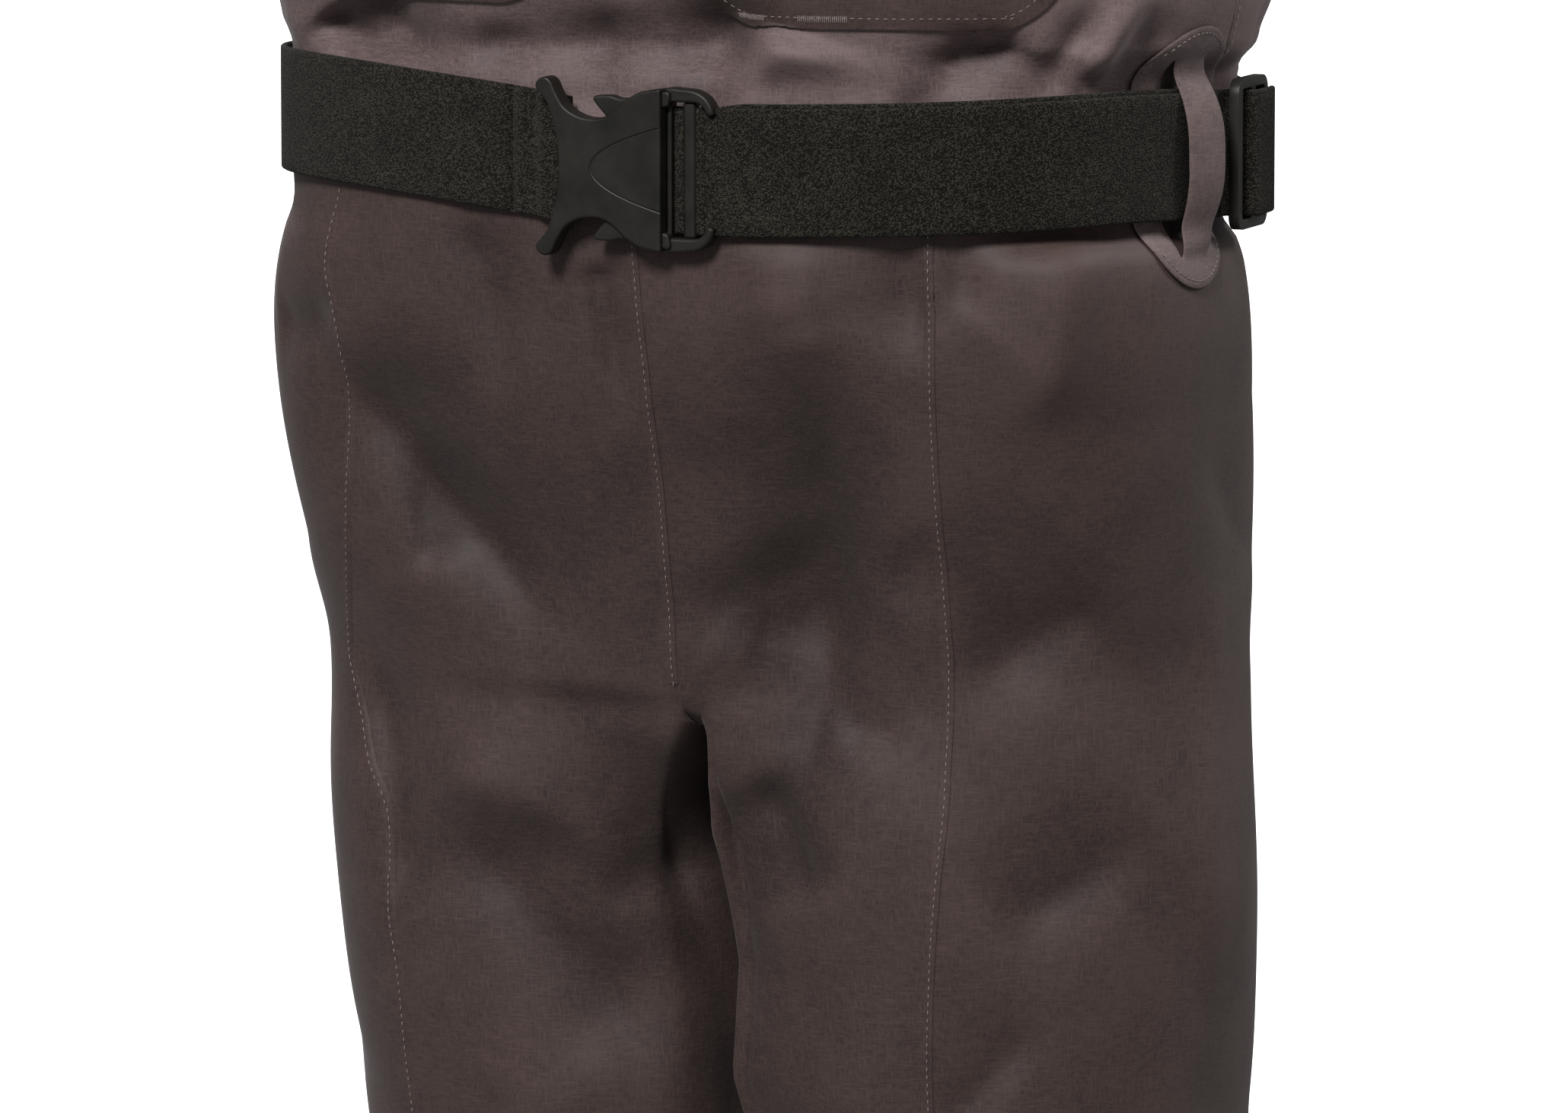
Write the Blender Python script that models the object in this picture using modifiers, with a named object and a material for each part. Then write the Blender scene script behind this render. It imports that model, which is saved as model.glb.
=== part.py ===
"""Stockingfoot chest waders, standing as worn, with their wading belt fastened round the waist.

Units are metres, +Z is up, the front faces -Y and the wearer's left is +X.
A bib and two trouser legs, each one hollow cloth wall, meet behind the belt and at the rise seam.
Each leg ends in a neoprene sock with its own sole.
"""

import math

import bmesh
import bpy
from mathutils import Matrix, Vector

# Driving dimensions
BELT_HEIGHT = 1.000
BELT_WIDTH = 0.050
BELT_THICKNESS = 0.0026
CROTCH_HEIGHT = 0.796
CROTCH_DIP = 0.020
ANKLE_SEAM_HEIGHT = 0.235
BIB_TOP_FRONT = 1.335
BIB_TOP_SIDE = 1.290
BIB_TOP_BACK = 1.305
FOOT_LENGTH = 0.286
TOE_OUT_ANGLE = math.radians(7.0)
INWARD_CURVE = 0.020

# Moves the tables, whose zero is the middle of the waist, to the middle of the whole garment
MIDDLE_Y = -0.0131

# Wall thicknesses
CLOTH_WALL = 0.0012
PATCH_WALL = 0.0010
NEOPRENE_WALL = 0.0040
SOLE_THICKNESS = 0.0060
SEAT_GAP = 0.0003

# Sole underside
ARCH_RISE = 0.0025
TOE_SPRING = 0.0080

# Mesh steps
HALF_WAIST_STEPS = 20
CROTCH_STEPS = 8
FOOT_STEPS = 22

TORSO_COLUMNS = ("height", "centre", "half_width", "front", "back", "squareness", "valley")
TORSO_SECTIONS = (
    (0.796, 0.030, 0.192, 0.112, 0.112, 2.5, 0.010),
    (0.820, 0.024, 0.196, 0.115, 0.118, 2.6, 0.007),
    (0.860, 0.014, 0.198, 0.116, 0.128, 2.7, 0.003),
    (0.905, 0.004, 0.199, 0.118, 0.132, 2.8, 0.001),
    (0.945, 0.000, 0.197, 0.121, 0.128, 2.8, 0.000),
    (0.970, 0.000, 0.189, 0.124, 0.120, 2.8, 0.000),
    (1.042, 0.000, 0.189, 0.124, 0.120, 2.8, 0.000),
    (1.070, 0.018, 0.204, 0.149, 0.126, 2.7, 0.000),
    (1.150, 0.018, 0.212, 0.152, 0.130, 2.6, 0.000),
    (1.250, 0.016, 0.218, 0.149, 0.128, 2.6, 0.000),
    (1.340, 0.014, 0.222, 0.144, 0.126, 2.6, 0.000),
)
HIP_ROWS = (0.970, 0.945, 0.912, 0.880, 0.848, 0.820)
BIB_ROWS = (1.042, 1.054, 1.070, 1.110, 1.165, 1.225)

LEG_COLUMNS = ("height", "centre_x", "centre_y", "half_width", "half_depth", "half_gap")
LEG_SECTIONS = (
    (0.760, 0.0920, 0.031, 0.1070, 0.110, 0.0030),
    (0.700, 0.0890, 0.038, 0.1070, 0.109, 0.0030),
    (0.620, 0.0860, 0.050, 0.1050, 0.106, 0.0030),
    (0.540, 0.0850, 0.060, 0.0970, 0.099, 0.0040),
    (0.460, 0.0880, 0.068, 0.0890, 0.092, 0.0060),
    (0.380, 0.0920, 0.075, 0.0840, 0.088, 0.0120),
    (0.310, 0.0960, 0.080, 0.0780, 0.082, 0.0200),
    (0.265, 0.0990, 0.083, 0.0690, 0.072, 0.0270),
    (0.235, 0.1000, 0.084, 0.0600, 0.060, 0.0300),
)
LEG_ROWS = (0.765, 0.735, 0.700, 0.660, 0.615, 0.565, 0.515, 0.465, 0.415, 0.370, 0.330, 0.295, 0.265, 0.2353)
LEG_BLEND_LENGTH = 0.110
LEG_PRESS_SHARPNESS = 14.0

# Distances along the foot are from the back of the heel, at each height above the sole
SOCK_COLUMNS = ("height", "toe_end", "heel_end", "ball", "ball_at", "heel", "heel_at", "curve")
SOCK_SECTIONS = (
    (0.0063, 0.2850, 0.0010, 0.0485, 0.67, 0.0335, 0.16, 1.00),
    (0.0180, 0.2860, 0.0000, 0.0515, 0.67, 0.0360, 0.17, 1.00),
    (0.0300, 0.2830, 0.0000, 0.0510, 0.67, 0.0365, 0.18, 0.98),
    (0.0410, 0.2740, 0.0010, 0.0485, 0.67, 0.0365, 0.19, 0.92),
    (0.0490, 0.2590, 0.0020, 0.0460, 0.66, 0.0365, 0.20, 0.84),
    (0.0560, 0.2380, 0.0030, 0.0440, 0.64, 0.0370, 0.23, 0.72),
    (0.0640, 0.2140, 0.0040, 0.0420, 0.60, 0.0375, 0.27, 0.55),
    (0.0740, 0.1920, 0.0060, 0.0405, 0.56, 0.0380, 0.32, 0.38),
    (0.0870, 0.1730, 0.0080, 0.0400, 0.52, 0.0385, 0.38, 0.22),
    (0.1050, 0.1560, 0.0100, 0.0410, 0.50, 0.0405, 0.45, 0.10),
    (0.1300, 0.1430, 0.0110, 0.0440, 0.50, 0.0440, 0.50, 0.00),
    (0.1650, 0.1360, 0.0105, 0.0500, 0.50, 0.0500, 0.50, 0.00),
    (0.2000, 0.1325, 0.0105, 0.0560, 0.50, 0.0560, 0.50, 0.00),
    (0.2350, 0.1305, 0.0105, 0.0600, 0.50, 0.0600, 0.50, 0.00),
)
TOE_BLUNTNESS = 2.5

# The belt's line round the waist, in degrees from the front middle towards the wearer's left
BELT_COLUMNS = ("angle", "rise", "stand_off")
BELT_LINE = (
    (-180, 0.0080, 0.0004),
    (-110, 0.0090, 0.0004),
    (-60, 0.0130, 0.0004),
    (-25, 0.0065, 0.0004),
    (0, 0.0000, 0.0004),
    (20, -0.0004, 0.0004),
    (45, 0.0014, 0.0010),
    (70, 0.0042, 0.0042),
    (97, 0.0010, 0.0080),
    (130, 0.0040, 0.0014),
    (150, 0.0060, 0.0004),
    (180, 0.0080, 0.0004),
)
LAYER_STEP = BELT_THICKNESS + SEAT_GAP

# Side-release buckle, in its own plane: along the belt, then up from its middle
BUCKLE_ACROSS = 0.003
BUCKLE_HALF_HEIGHT = 0.032
HOUSING_INNER_FACE = 0.0034
HOUSING_THICKNESS = 0.0090
HOUSING_RIGHT_EDGE = 0.0176
HOUSING_HALF_OUTLINE = (
    (-0.0265, 0.0000),
    (-0.0278, 0.0140),
    (-0.0312, 0.0265),
    (-0.0362, 0.0300),
    (-0.0350, 0.0335),
    (-0.0312, 0.0350),
    (-0.0285, 0.0325),
    (-0.0252, 0.0252),
    (-0.0180, 0.0205),
    (-0.0080, 0.0200),
    (-0.0025, 0.0228),
    (0.0040, 0.0280),
    (0.0100, 0.0306),
    (0.0176, 0.0320),
)
FRAME_INNER_FACE = 0.0008
FRAME_THICKNESS = 0.0068
FRAME_RIGHT_END = 0.0385
FRAME_CORNER = 0.0130
FRAME_SLOT = (0.0200, 0.0246)
FRAME_BAR_END = 0.0302
FRAME_WINDOW_HALF = 0.0264
PRONG_HALF_OUTLINE = (
    (0.0300, 0.0165),
    (0.0300, 0.0262),
    (0.0060, 0.0262),
    (-0.0130, 0.0272),
    (-0.0090, 0.0205),
    (0.0060, 0.0165),
)
PRONG_INNER_FACE = 0.0054
PRONG_THICKNESS = 0.0036
PRONG_CLEARANCE = 0.0004

# Strap slider at the wearer's left side
SLIDER_ANGLE = math.radians(97.0)
SLIDER_LENGTH = 0.036
SLIDER_HEIGHT = 0.060
SLIDER_BAR = 0.0050
SLIDER_THICKNESS = 0.0042
SLIDER_CORNER = 0.0060
STRAP_AT_SLIDER = ((-0.0122, 0.0), (-0.0048, 1.0), (0.0048, 1.0), (0.0122, 0.0))

# Belt loop patch on the wearer's left side
LOOP_ANGLE = math.radians(84.0)
LOOP_HALF_WIDTH = 0.0330
LOOP_HALF_HEIGHT = 0.0510
LOOP_STRAP_HALF_WIDTH = 0.0110
LOOP_SLIT_WIDTH = 0.0020
LOOP_SLIT_HALF = 0.0420
LOOP_CLEAR_HALF = 0.0262
LOOP_BOW = 0.0030
OVERLAY_GAP = 0.0004

# Chest pockets, measured across from the front middle
POCKET_INNER_EDGE = 0.030
POCKET_OUTER_EDGE = 0.172
POCKET_BOTTOM_LEFT = 1.057
POCKET_BOTTOM_RIGHT = 1.063
POCKET_TOP = 1.222
POCKET_CORNER = 0.026
POCKET_CORNER_STEPS = 6


def row_slope(before, here, after, height_before, height, height_after):
    """Slope of a column at a row: none at a level run or a turning point, so nothing swings past a row."""
    rise_low, rise_high = here - before, after - here
    if rise_low * rise_high <= 0:
        return 0.0
    slope_low = rise_low / (height - height_before)
    slope_high = rise_high / (height_after - height)
    return 2 * slope_low * slope_high / (slope_low + slope_high)


def read_section(columns, rows, height):
    """A section table read at any height, through a smooth curve between the two rows beside it."""
    rows = sorted(rows)
    height = min(max(height, rows[0][0]), rows[-1][0])
    above = max(1, next(i for i, row in enumerate(rows) if row[0] >= height))
    before, low, high = rows[max(above - 2, 0)], rows[above - 1], rows[above]
    after = rows[min(above + 1, len(rows) - 1)]
    span = high[0] - low[0]
    t = (height - low[0]) / span
    found = {}
    for name, v0, v1, v2, v3 in zip(columns, before, low, high, after):
        slope_low = row_slope(v0, v1, v2, before[0], low[0], high[0]) * span
        slope_high = row_slope(v1, v2, v3, low[0], high[0], after[0]) * span
        found[name] = (
            v1 * (1 + 2 * t) * (1 - t) ** 2
            + slope_low * t * (1 - t) ** 2
            + v2 * t * t * (3 - 2 * t)
            + slope_high * t * t * (t - 1)
        )
    return found


def smooth_step(t):
    t = min(max(t, 0.0), 1.0)
    return t * t * (3 - 2 * t)


def torso_point(angle, height, out=0.0):
    """A point of the bib or the hips. The angle runs from the front middle towards the wearer's left."""
    s = read_section(TORSO_COLUMNS, TORSO_SECTIONS, height)

    def flat_point(a):
        depth = s["front"] if math.cos(a) >= 0 else s["back"]
        power = s["squareness"]
        across, along = abs(math.sin(a) / s["half_width"]), abs(math.cos(a) / depth)
        radius = (across**power + along**power) ** (-1 / power)
        from_middle = min(abs(a) % math.pi, math.pi - abs(a) % math.pi)
        radius -= s["valley"] * math.exp(-((from_middle / 0.30) ** 2))
        return Vector((radius * math.sin(a), MIDDLE_Y + s["centre"] - radius * math.cos(a), height))

    point = flat_point(angle)
    if out:
        point += waist_normal(flat_point(angle + 0.01) - flat_point(angle - 0.01)) * out
    return point


def waist_normal(tangent):
    return Vector((tangent.y, -tangent.x, 0)).normalized()


def leg_radius(section, angle):
    """From the leg's middle to its wall: an ellipse that the other leg presses flat. Angle 0 is outwards."""
    ellipse = (
        (math.cos(angle) / section["half_width"]) ** 2 + (math.sin(angle) / section["half_depth"]) ** 2
    ) ** -0.5
    inward = -math.cos(angle)
    if inward <= 0.01:
        return ellipse
    press = (section["centre_x"] - section["half_gap"]) / inward
    power = LEG_PRESS_SHARPNESS
    return (ellipse**-power + press**-power) ** (-1 / power)


def cut_material(name, colour, roughness):
    material = bpy.data.materials.new(name)
    material.use_nodes = True
    shader = material.node_tree.nodes["Principled BSDF"]
    shader.inputs["Base Color"].default_value = (*colour, 1.0)
    shader.inputs["Roughness"].default_value = roughness
    shader.inputs["Metallic"].default_value = 0.0
    return material


def add_piece(name, mesh, material, parent):
    mesh.materials.clear()
    mesh.materials.append(material)
    piece = bpy.data.objects.new(name, mesh)
    parts_collection.objects.link(piece)
    piece.parent = parent
    mesh.shade_smooth()
    mesh.set_sharp_from_angle(angle=math.radians(40))
    return piece


def mesh_from(name, points, faces):
    mesh = bpy.data.meshes.new(name)
    mesh.from_pydata([tuple(p) for p in points], [], faces)
    mesh.validate()
    return mesh


def join_rings(lower, upper, closed=True):
    """Quads between two rings of point numbers that run anticlockwise seen from above, facing outwards."""
    count = len(lower)
    steps = range(count if closed else count - 1)
    return [(lower[i], lower[(i + 1) % count], upper[(i + 1) % count], upper[i]) for i in steps]


def give_wall(piece, thickness, outwards=False):
    wall = piece.modifiers.new("Wall", "SOLIDIFY")
    wall.thickness = thickness
    wall.offset = 1.0 if outwards else -1.0
    wall.use_even_offset = False
    return piece


def ring_angles():
    return [math.pi * i / HALF_WAIST_STEPS for i in range(2 * HALF_WAIST_STEPS)]


def bib_hem(angle):
    """Height of the bib's upper edge, which is higher at the front and the back than at the sides."""
    middle = BIB_TOP_FRONT if math.cos(angle) >= 0 else BIB_TOP_BACK
    return BIB_TOP_SIDE + (middle - BIB_TOP_SIDE) * math.cos(angle) ** 2


def build_bib(material, parent):
    """The bib: an open tube of cloth from the waist seam up to its hem."""
    points, rings = [], []
    rows = [[height] * len(ring_angles()) for height in (BELT_HEIGHT, *BIB_ROWS)]
    hem = [bib_hem(angle) for angle in ring_angles()]
    rows += [[(last + top) / 2 for last, top in zip(rows[-1], hem)], hem]
    for row in rows:
        rings.append(list(range(len(points), len(points) + len(row))))
        points += [torso_point(angle, height) for angle, height in zip(ring_angles(), row)]
    faces = [face for low, high in zip(rings, rings[1:]) for face in join_rings(low, high)]
    return give_wall(add_piece("bib", mesh_from("bib", points, faces), material, parent), CLOTH_WALL)


def cloth_point(angle, height, out):
    """A point over the flat faces of the bib or the hips, as far out from them as asked."""
    step = math.pi / HALF_WAIST_STEPS
    first = math.floor(angle / step) * step
    rows = sorted((*HIP_ROWS, BELT_HEIGHT, *BIB_ROWS, BIB_TOP_SIDE))
    above = max(1, next(i for i, row in enumerate(rows) if row >= height))
    across = (angle - first) / step
    upwards = (height - rows[above - 1]) / (rows[above] - rows[above - 1])
    low = torso_point(first, rows[above - 1]).lerp(torso_point(first + step, rows[above - 1]), across)
    high = torso_point(first, rows[above]).lerp(torso_point(first + step, rows[above]), across)
    tangent = torso_point(angle + 0.05, height) - torso_point(angle - 0.05, height)
    return low.lerp(high, upwards) + waist_normal(tangent) * out


def crotch_curve(front, back):
    """Points under the crotch between the two rise seams, without its ends."""
    inner = []
    for i in range(1, CROTCH_STEPS):
        t = i / CROTCH_STEPS
        point = front.lerp(back, t)
        point.z -= CROTCH_DIP * math.sin(math.pi * t)
        inner.append(point)
    return inner


def build_leg(name, side, material, parent):
    """Half of the hips and one leg in one wall, open at the waist, along the rise seam and at the ankle."""
    points, rows = [], []
    angles = [math.pi * i / HALF_WAIST_STEPS for i in range(HALF_WAIST_STEPS + 1)]
    for height in (BELT_HEIGHT - SEAT_GAP, *HIP_ROWS, CROTCH_HEIGHT):
        rows.append(list(range(len(points), len(points) + len(angles))))
        points += [torso_point(angle, height) for angle in angles]
    faces = [face for high, low in zip(rows, rows[1:]) for face in join_rings(low, high, closed=False)]

    hip = rows[-1]
    crotch = list(range(len(points), len(points) + CROTCH_STEPS - 1))
    points += crotch_curve(points[hip[0]], points[hip[-1]])
    faces += add_leg_rings(points, hip + crotch[::-1])
    points = [Vector((side * max(p.x, SEAT_GAP / 2), p.y, p.z)) for p in points]
    if side < 0:
        faces = [tuple(reversed(face)) for face in faces]
    return give_wall(add_piece(name, mesh_from(name, points, faces), material, parent), CLOTH_WALL)


def add_leg_rings(points, top):
    """Adds the rings of the wearer's left leg below the crotch and returns its faces."""
    start = read_section(LEG_COLUMNS, LEG_SECTIONS, CROTCH_HEIGHT)
    top_points = [points[i].copy() for i in top]
    centre_x, centre_y = start["centre_x"], MIDDLE_Y + start["centre_y"]
    angles = [math.atan2(p.y - centre_y, p.x - centre_x) for p in top_points]
    faces, upper = [], top
    for height in LEG_ROWS:
        section = read_section(LEG_COLUMNS, LEG_SECTIONS, height)
        blend = smooth_step((CROTCH_HEIGHT - height) / LEG_BLEND_LENGTH)
        lower = []
        for angle, above in zip(angles, top_points):
            radius = leg_radius(section, angle)
            x = section["centre_x"] + radius * math.cos(angle)
            y = MIDDLE_Y + section["centre_y"] + radius * math.sin(angle)
            z = height + (above.z - CROTCH_HEIGHT) * (1 - blend)
            side_x = max(above.x, section["half_gap"])
            lower.append(len(points))
            points.append(Vector((side_x + (x - side_x) * blend, above.y + (y - above.y) * blend, z)))
        faces += join_rings(lower, upper)
        upper = lower
    return faces


def sock_outline(section, steps):
    """One level of the foot, from the heel round by its outer side, as lengths along the foot and outwards."""
    length = section["toe_end"] - section["heel_end"]
    outline = []
    for i in range(steps):
        turn = 2 * math.pi * i / steps
        share = (1 - math.cos(turn)) / 2
        if share >= section["ball_at"]:
            beyond = (share - section["ball_at"]) / (1 - section["ball_at"])
            width = section["ball"] * max(0.0, 1 - beyond**TOE_BLUNTNESS) ** 0.5
        elif share <= section["heel_at"]:
            beyond = (section["heel_at"] - share) / section["heel_at"]
            width = section["heel"] * max(0.0, 1 - beyond**2) ** 0.5
        else:
            t = (share - section["heel_at"]) / max(section["ball_at"] - section["heel_at"], 1e-6)
            width = section["heel"] + (section["ball"] - section["heel"]) * smooth_step(t)
        bow = INWARD_CURVE * section["curve"] * (max(0.0, share - 0.35) / 0.65) ** 1.6
        outline.append((section["heel_end"] + share * length, math.copysign(width, math.pi - turn) - bow))
    return outline


def foot_place(side):
    """The matrix that puts a foot, drawn along -Y from the back of its heel, under its leg."""
    ankle = read_section(LEG_COLUMNS, LEG_SECTIONS, ANKLE_SEAM_HEIGHT)
    top = read_section(SOCK_COLUMNS, SOCK_SECTIONS, ANKLE_SEAM_HEIGHT)
    ankle_from_heel = (top["toe_end"] + top["heel_end"]) / 2
    stand = Matrix.Translation((side * ankle["centre_x"], MIDDLE_Y + ankle["centre_y"], 0))
    return stand @ Matrix.Rotation(side * TOE_OUT_ANGLE, 4, "Z") @ Matrix.Translation((0, ankle_from_heel, 0))


def sole_underside(along):
    """Height of the sole's underside: flat under heel and ball, arched between them, with a sprung toe."""
    share = along / FOOT_LENGTH
    arch = ARCH_RISE * math.sin(math.pi * min(max((share - 0.32) / 0.22, 0.0), 1.0)) ** 2
    return arch + TOE_SPRING * smooth_step((share - 0.80) / 0.24)


def build_sock(name, side, material, parent):
    """One neoprene sock: open at the ankle seam, and underneath where its sole closes it."""
    place = foot_place(side)
    points, rings = [], []
    lowest, highest = SOCK_SECTIONS[0][0], SOCK_SECTIONS[-1][0]
    for row in SOCK_SECTIONS:
        section = dict(zip(SOCK_COLUMNS, row))
        lift = 1 - smooth_step((section["height"] - lowest) / (0.5 * highest))
        ring = []
        for along, outwards in sock_outline(section, FOOT_STEPS):
            ring.append(len(points))
            height = section["height"] + sole_underside(along) * lift
            points.append(place @ Vector((side * outwards, -along, height)))
        rings.append(ring)
    faces = []
    for low, high in zip(rings, rings[1:]):
        faces += join_rings(high, low) if side > 0 else join_rings(low, high)
    mesh = mesh_from(name, points, faces)
    return give_wall(add_piece(name, face_outwards(mesh), material, parent), NEOPRENE_WALL)


def face_outwards(mesh):
    work = bmesh.new()
    work.from_mesh(mesh)
    bmesh.ops.recalc_face_normals(work, faces=work.faces)
    work.to_mesh(mesh)
    work.free()
    return mesh


def build_sole(name, side, material, parent):
    """One sole: the sock's own outline with an arch, a sprung toe and flat spots under heel and ball."""
    place = foot_place(side)
    outline = sock_outline(dict(zip(SOCK_COLUMNS, SOCK_SECTIONS[0])), FOOT_STEPS)
    points, layers = [], []
    for thickness in (0.0, SOLE_THICKNESS):
        layers.append(list(range(len(points), len(points) + FOOT_STEPS)))
        for along, outwards in outline:
            points.append(place @ Vector((side * outwards, -along, sole_underside(along) + thickness)))
    faces = join_rings(layers[0], layers[1])
    for layer in layers:
        for i in range(FOOT_STEPS // 2):
            near, far = layer[i], layer[i + 1]
            other_near, other_far = layer[-i % FOOT_STEPS], layer[-i - 1]
            quad = [near, far, other_far, other_near]
            faces.append(tuple(dict.fromkeys(quad)))
    return add_piece(name, face_outwards(mesh_from(name, points, faces)), material, parent)


def belt_line(angle):
    """The belt's rise and its distance out from the cloth, at an angle round the waist."""
    degrees = (math.degrees(angle) + 180) % 360 - 180
    return read_section(BELT_COLUMNS, BELT_LINE, degrees)


def build_strap(name, angles, outs, material, parent):
    """A length of webbing round the waist. Each angle has its own distance out from the cloth."""
    points, loops = [], []
    half = BELT_WIDTH / 2
    for angle, inner in zip(angles, outs):
        height = BELT_HEIGHT + belt_line(angle)["rise"]
        outer = inner + BELT_THICKNESS
        loop = []
        for out, up in ((inner, -half), (outer, -half), (outer, half), (inner, half)):
            point = cloth_point(angle, BELT_HEIGHT, out)
            loop.append(len(points))
            points.append(Vector((point.x, point.y, height + up)))
        loops.append(loop)
    faces = [face for first, second in zip(loops, loops[1:]) for face in join_rings(first, second)]
    faces += [tuple(loops[0]), tuple(reversed(loops[-1]))]
    return add_piece(name, face_outwards(mesh_from(name, points, faces)), material, parent)


def angle_at_x(x):
    """The waist angle, near the front, at a given distance across."""
    low, high = 0.0, math.pi / 2
    for _ in range(40):
        middle = (low + high) / 2
        if cloth_point(middle, BELT_HEIGHT, SEAT_GAP).x < abs(x):
            low = middle
        else:
            high = middle
    return math.copysign(low, x)


def spread(first, last, steps):
    return [first + (last - first) * i / steps for i in range(steps + 1)]


def waist_steps(first, last):
    """Angles from one end of a strap to the other that turn where the cloth's own faces turn."""
    step = math.pi / HALF_WAIST_STEPS
    turns = [i * step for i in range(4 * HALF_WAIST_STEPS)]
    return [first, *(turn for turn in turns if first + 0.3 * step < turn < last - 0.3 * step), last]


def build_belt(material, parent):
    """The belt in two lengths: once round the waist, and back over itself from the buckle to the slider."""
    housing_end = angle_at_x(BUCKLE_ACROSS + HOUSING_HALF_OUTLINE[0][0]) + 2 * math.pi
    bar_end = angle_at_x(BUCKLE_ACROSS + FRAME_BAR_END + SEAT_GAP)
    girth = torso_point(SLIDER_ANGLE, BELT_HEIGHT).xy.length
    angles = waist_steps(bar_end, SLIDER_ANGLE - SLIDER_LENGTH / 2 / girth)
    lifts = [0.0] * len(angles)
    for along, share in STRAP_AT_SLIDER:
        angles.append(SLIDER_ANGLE + along / girth)
        lifts.append(share * (SLIDER_THICKNESS + LAYER_STEP + SEAT_GAP))
    outs = [belt_line(angle)["stand_off"] + LAYER_STEP + lift for angle, lift in zip(angles, lifts)]
    build_strap("belt_return", angles, outs, material, parent)
    angles += waist_steps(angles[-1], housing_end)[1:]
    build_strap("belt", angles, [belt_line(angle)["stand_off"] for angle in angles], material, parent)


def outline_solid(name, outline, low, high):
    """A flat outline, along and up, made a closed plate between two distances out from the waist cloth."""
    curve = bpy.data.curves.new(name, "CURVE")
    curve.dimensions = "2D"
    curve.fill_mode = "BOTH"
    curve.extrude = (high - low) / 2
    spline = curve.splines.new("POLY")
    spline.points.add(len(outline) - 1)
    spline.use_cyclic_u = True
    for point, (along, up) in zip(spline.points, outline):
        point.co = (along, up, 0, 1)
    holder = bpy.data.objects.new(name, curve)
    bpy.context.scene.collection.objects.link(holder)
    graph = bpy.context.evaluated_depsgraph_get()
    mesh = bpy.data.meshes.new_from_object(holder.evaluated_get(graph))
    bpy.data.objects.remove(holder)
    work = bmesh.new()
    work.from_mesh(mesh)
    bmesh.ops.remove_doubles(work, verts=work.verts, dist=1e-6)
    bmesh.ops.translate(work, verts=work.verts, vec=(0, 0, (low + high) / 2))
    bmesh.ops.recalc_face_normals(work, faces=work.faces)
    work.to_mesh(mesh)
    work.free()
    return mesh


def rounded_box(low_along, high_along, half_height, corner, right_only=False):
    """A rectangle with round corners, as points along and up."""
    outline = []
    corners = ((high_along, 1, 0), (low_along, 1, 90), (low_along, -1, 180), (high_along, -1, 270))
    for along, up, turn in corners:
        radius = 0.0 if right_only and along == low_along else corner
        inset = -1 if along == high_along else 1
        for step in range(5 if radius else 1):
            a = math.radians(turn + 22.5 * step)
            centre_along, centre_up = along + inset * radius, up * (half_height - radius)
            outline.append((centre_along + radius * math.cos(a), centre_up + radius * math.sin(a)))
    return outline


def mirrored(half_outline):
    """A closed outline from its upper half, which starts and ends on or beside the middle line."""
    lower = [(along, -up) for along, up in reversed(half_outline) if up]
    return list(half_outline) + lower


def waist_frame(angle, height):
    """The matrix from along, up and out to the row frame, at a place on the waist cloth."""
    here = cloth_point(angle, height, 0.0)
    along = (cloth_point(angle + 0.01, height, 0.0) - cloth_point(angle - 0.01, height, 0.0)).normalized()
    out = waist_normal(along)
    matrix = Matrix((along, Vector((0, 0, 1)), out)).transposed().to_4x4()
    matrix.translation = here
    return matrix


def combine(piece, mesh, operation, place=None):
    """Cuts the piece with a solid, or joins one on. It lies in the piece's plane unless it has a place."""
    tool = bpy.data.objects.new(piece.name + "_tool", mesh)
    tool.matrix_world = place or piece.matrix_world
    tool.hide_render = True
    tool.display_type = "WIRE"
    cutters_collection.objects.link(tool)
    boolean = piece.modifiers.new(operation.title(), "BOOLEAN")
    boolean.operation = operation
    boolean.object = tool


def plate(name, outline, low, high, matrix, material, parent):
    piece = add_piece(name, outline_solid(name, outline, low, high), material, parent)
    piece.matrix_world = matrix
    return piece


def build_buckle(material, parent):
    """The fastened side-release buckle: a housing, and a frame whose two prongs run into it."""
    place = waist_frame(0.0, BELT_HEIGHT)
    place.translation += Vector((BUCKLE_ACROSS, 0, belt_line(0.0)["rise"]))
    housing_outer = HOUSING_INNER_FACE + HOUSING_THICKNESS
    outline = mirrored(HOUSING_HALF_OUTLINE)
    housing = plate("buckle_housing", outline, HOUSING_INNER_FACE, housing_outer, place, material, parent)
    frame_start = HOUSING_RIGHT_EDGE + SEAT_GAP
    frame_box = rounded_box(frame_start, FRAME_RIGHT_END, BUCKLE_HALF_HEIGHT, FRAME_CORNER, True)
    frame_outer = FRAME_INNER_FACE + FRAME_THICKNESS
    frame = plate("buckle_frame", frame_box, FRAME_INNER_FACE, frame_outer, place, material, parent)
    slot = rounded_box(*FRAME_SLOT, FRAME_WINDOW_HALF, 0.001)
    window = rounded_box(FRAME_BAR_END, FRAME_RIGHT_END + 0.01, FRAME_WINDOW_HALF, 0.001)
    for shape in (slot, window):
        cutter = outline_solid("slot", shape, FRAME_INNER_FACE - 0.01, frame_outer + 0.01)
        combine(frame, cutter, "DIFFERENCE")
    for side in (1, -1):
        prong = [(along, side * up) for along, up in PRONG_HALF_OUTLINE]
        middle = Vector((sum(a for a, _ in prong), sum(u for _, u in prong))) / len(prong)
        room = [Vector(p) + (Vector(p) - middle).normalized() * 3 * PRONG_CLEARANCE for p in prong]
        low, high = PRONG_INNER_FACE, PRONG_INNER_FACE + PRONG_THICKNESS
        combine(frame, outline_solid("prong", prong, low, high), "UNION")
        cutter = outline_solid("prong_room", room, low - PRONG_CLEARANCE, high + PRONG_CLEARANCE)
        combine(housing, cutter, "DIFFERENCE")


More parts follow.
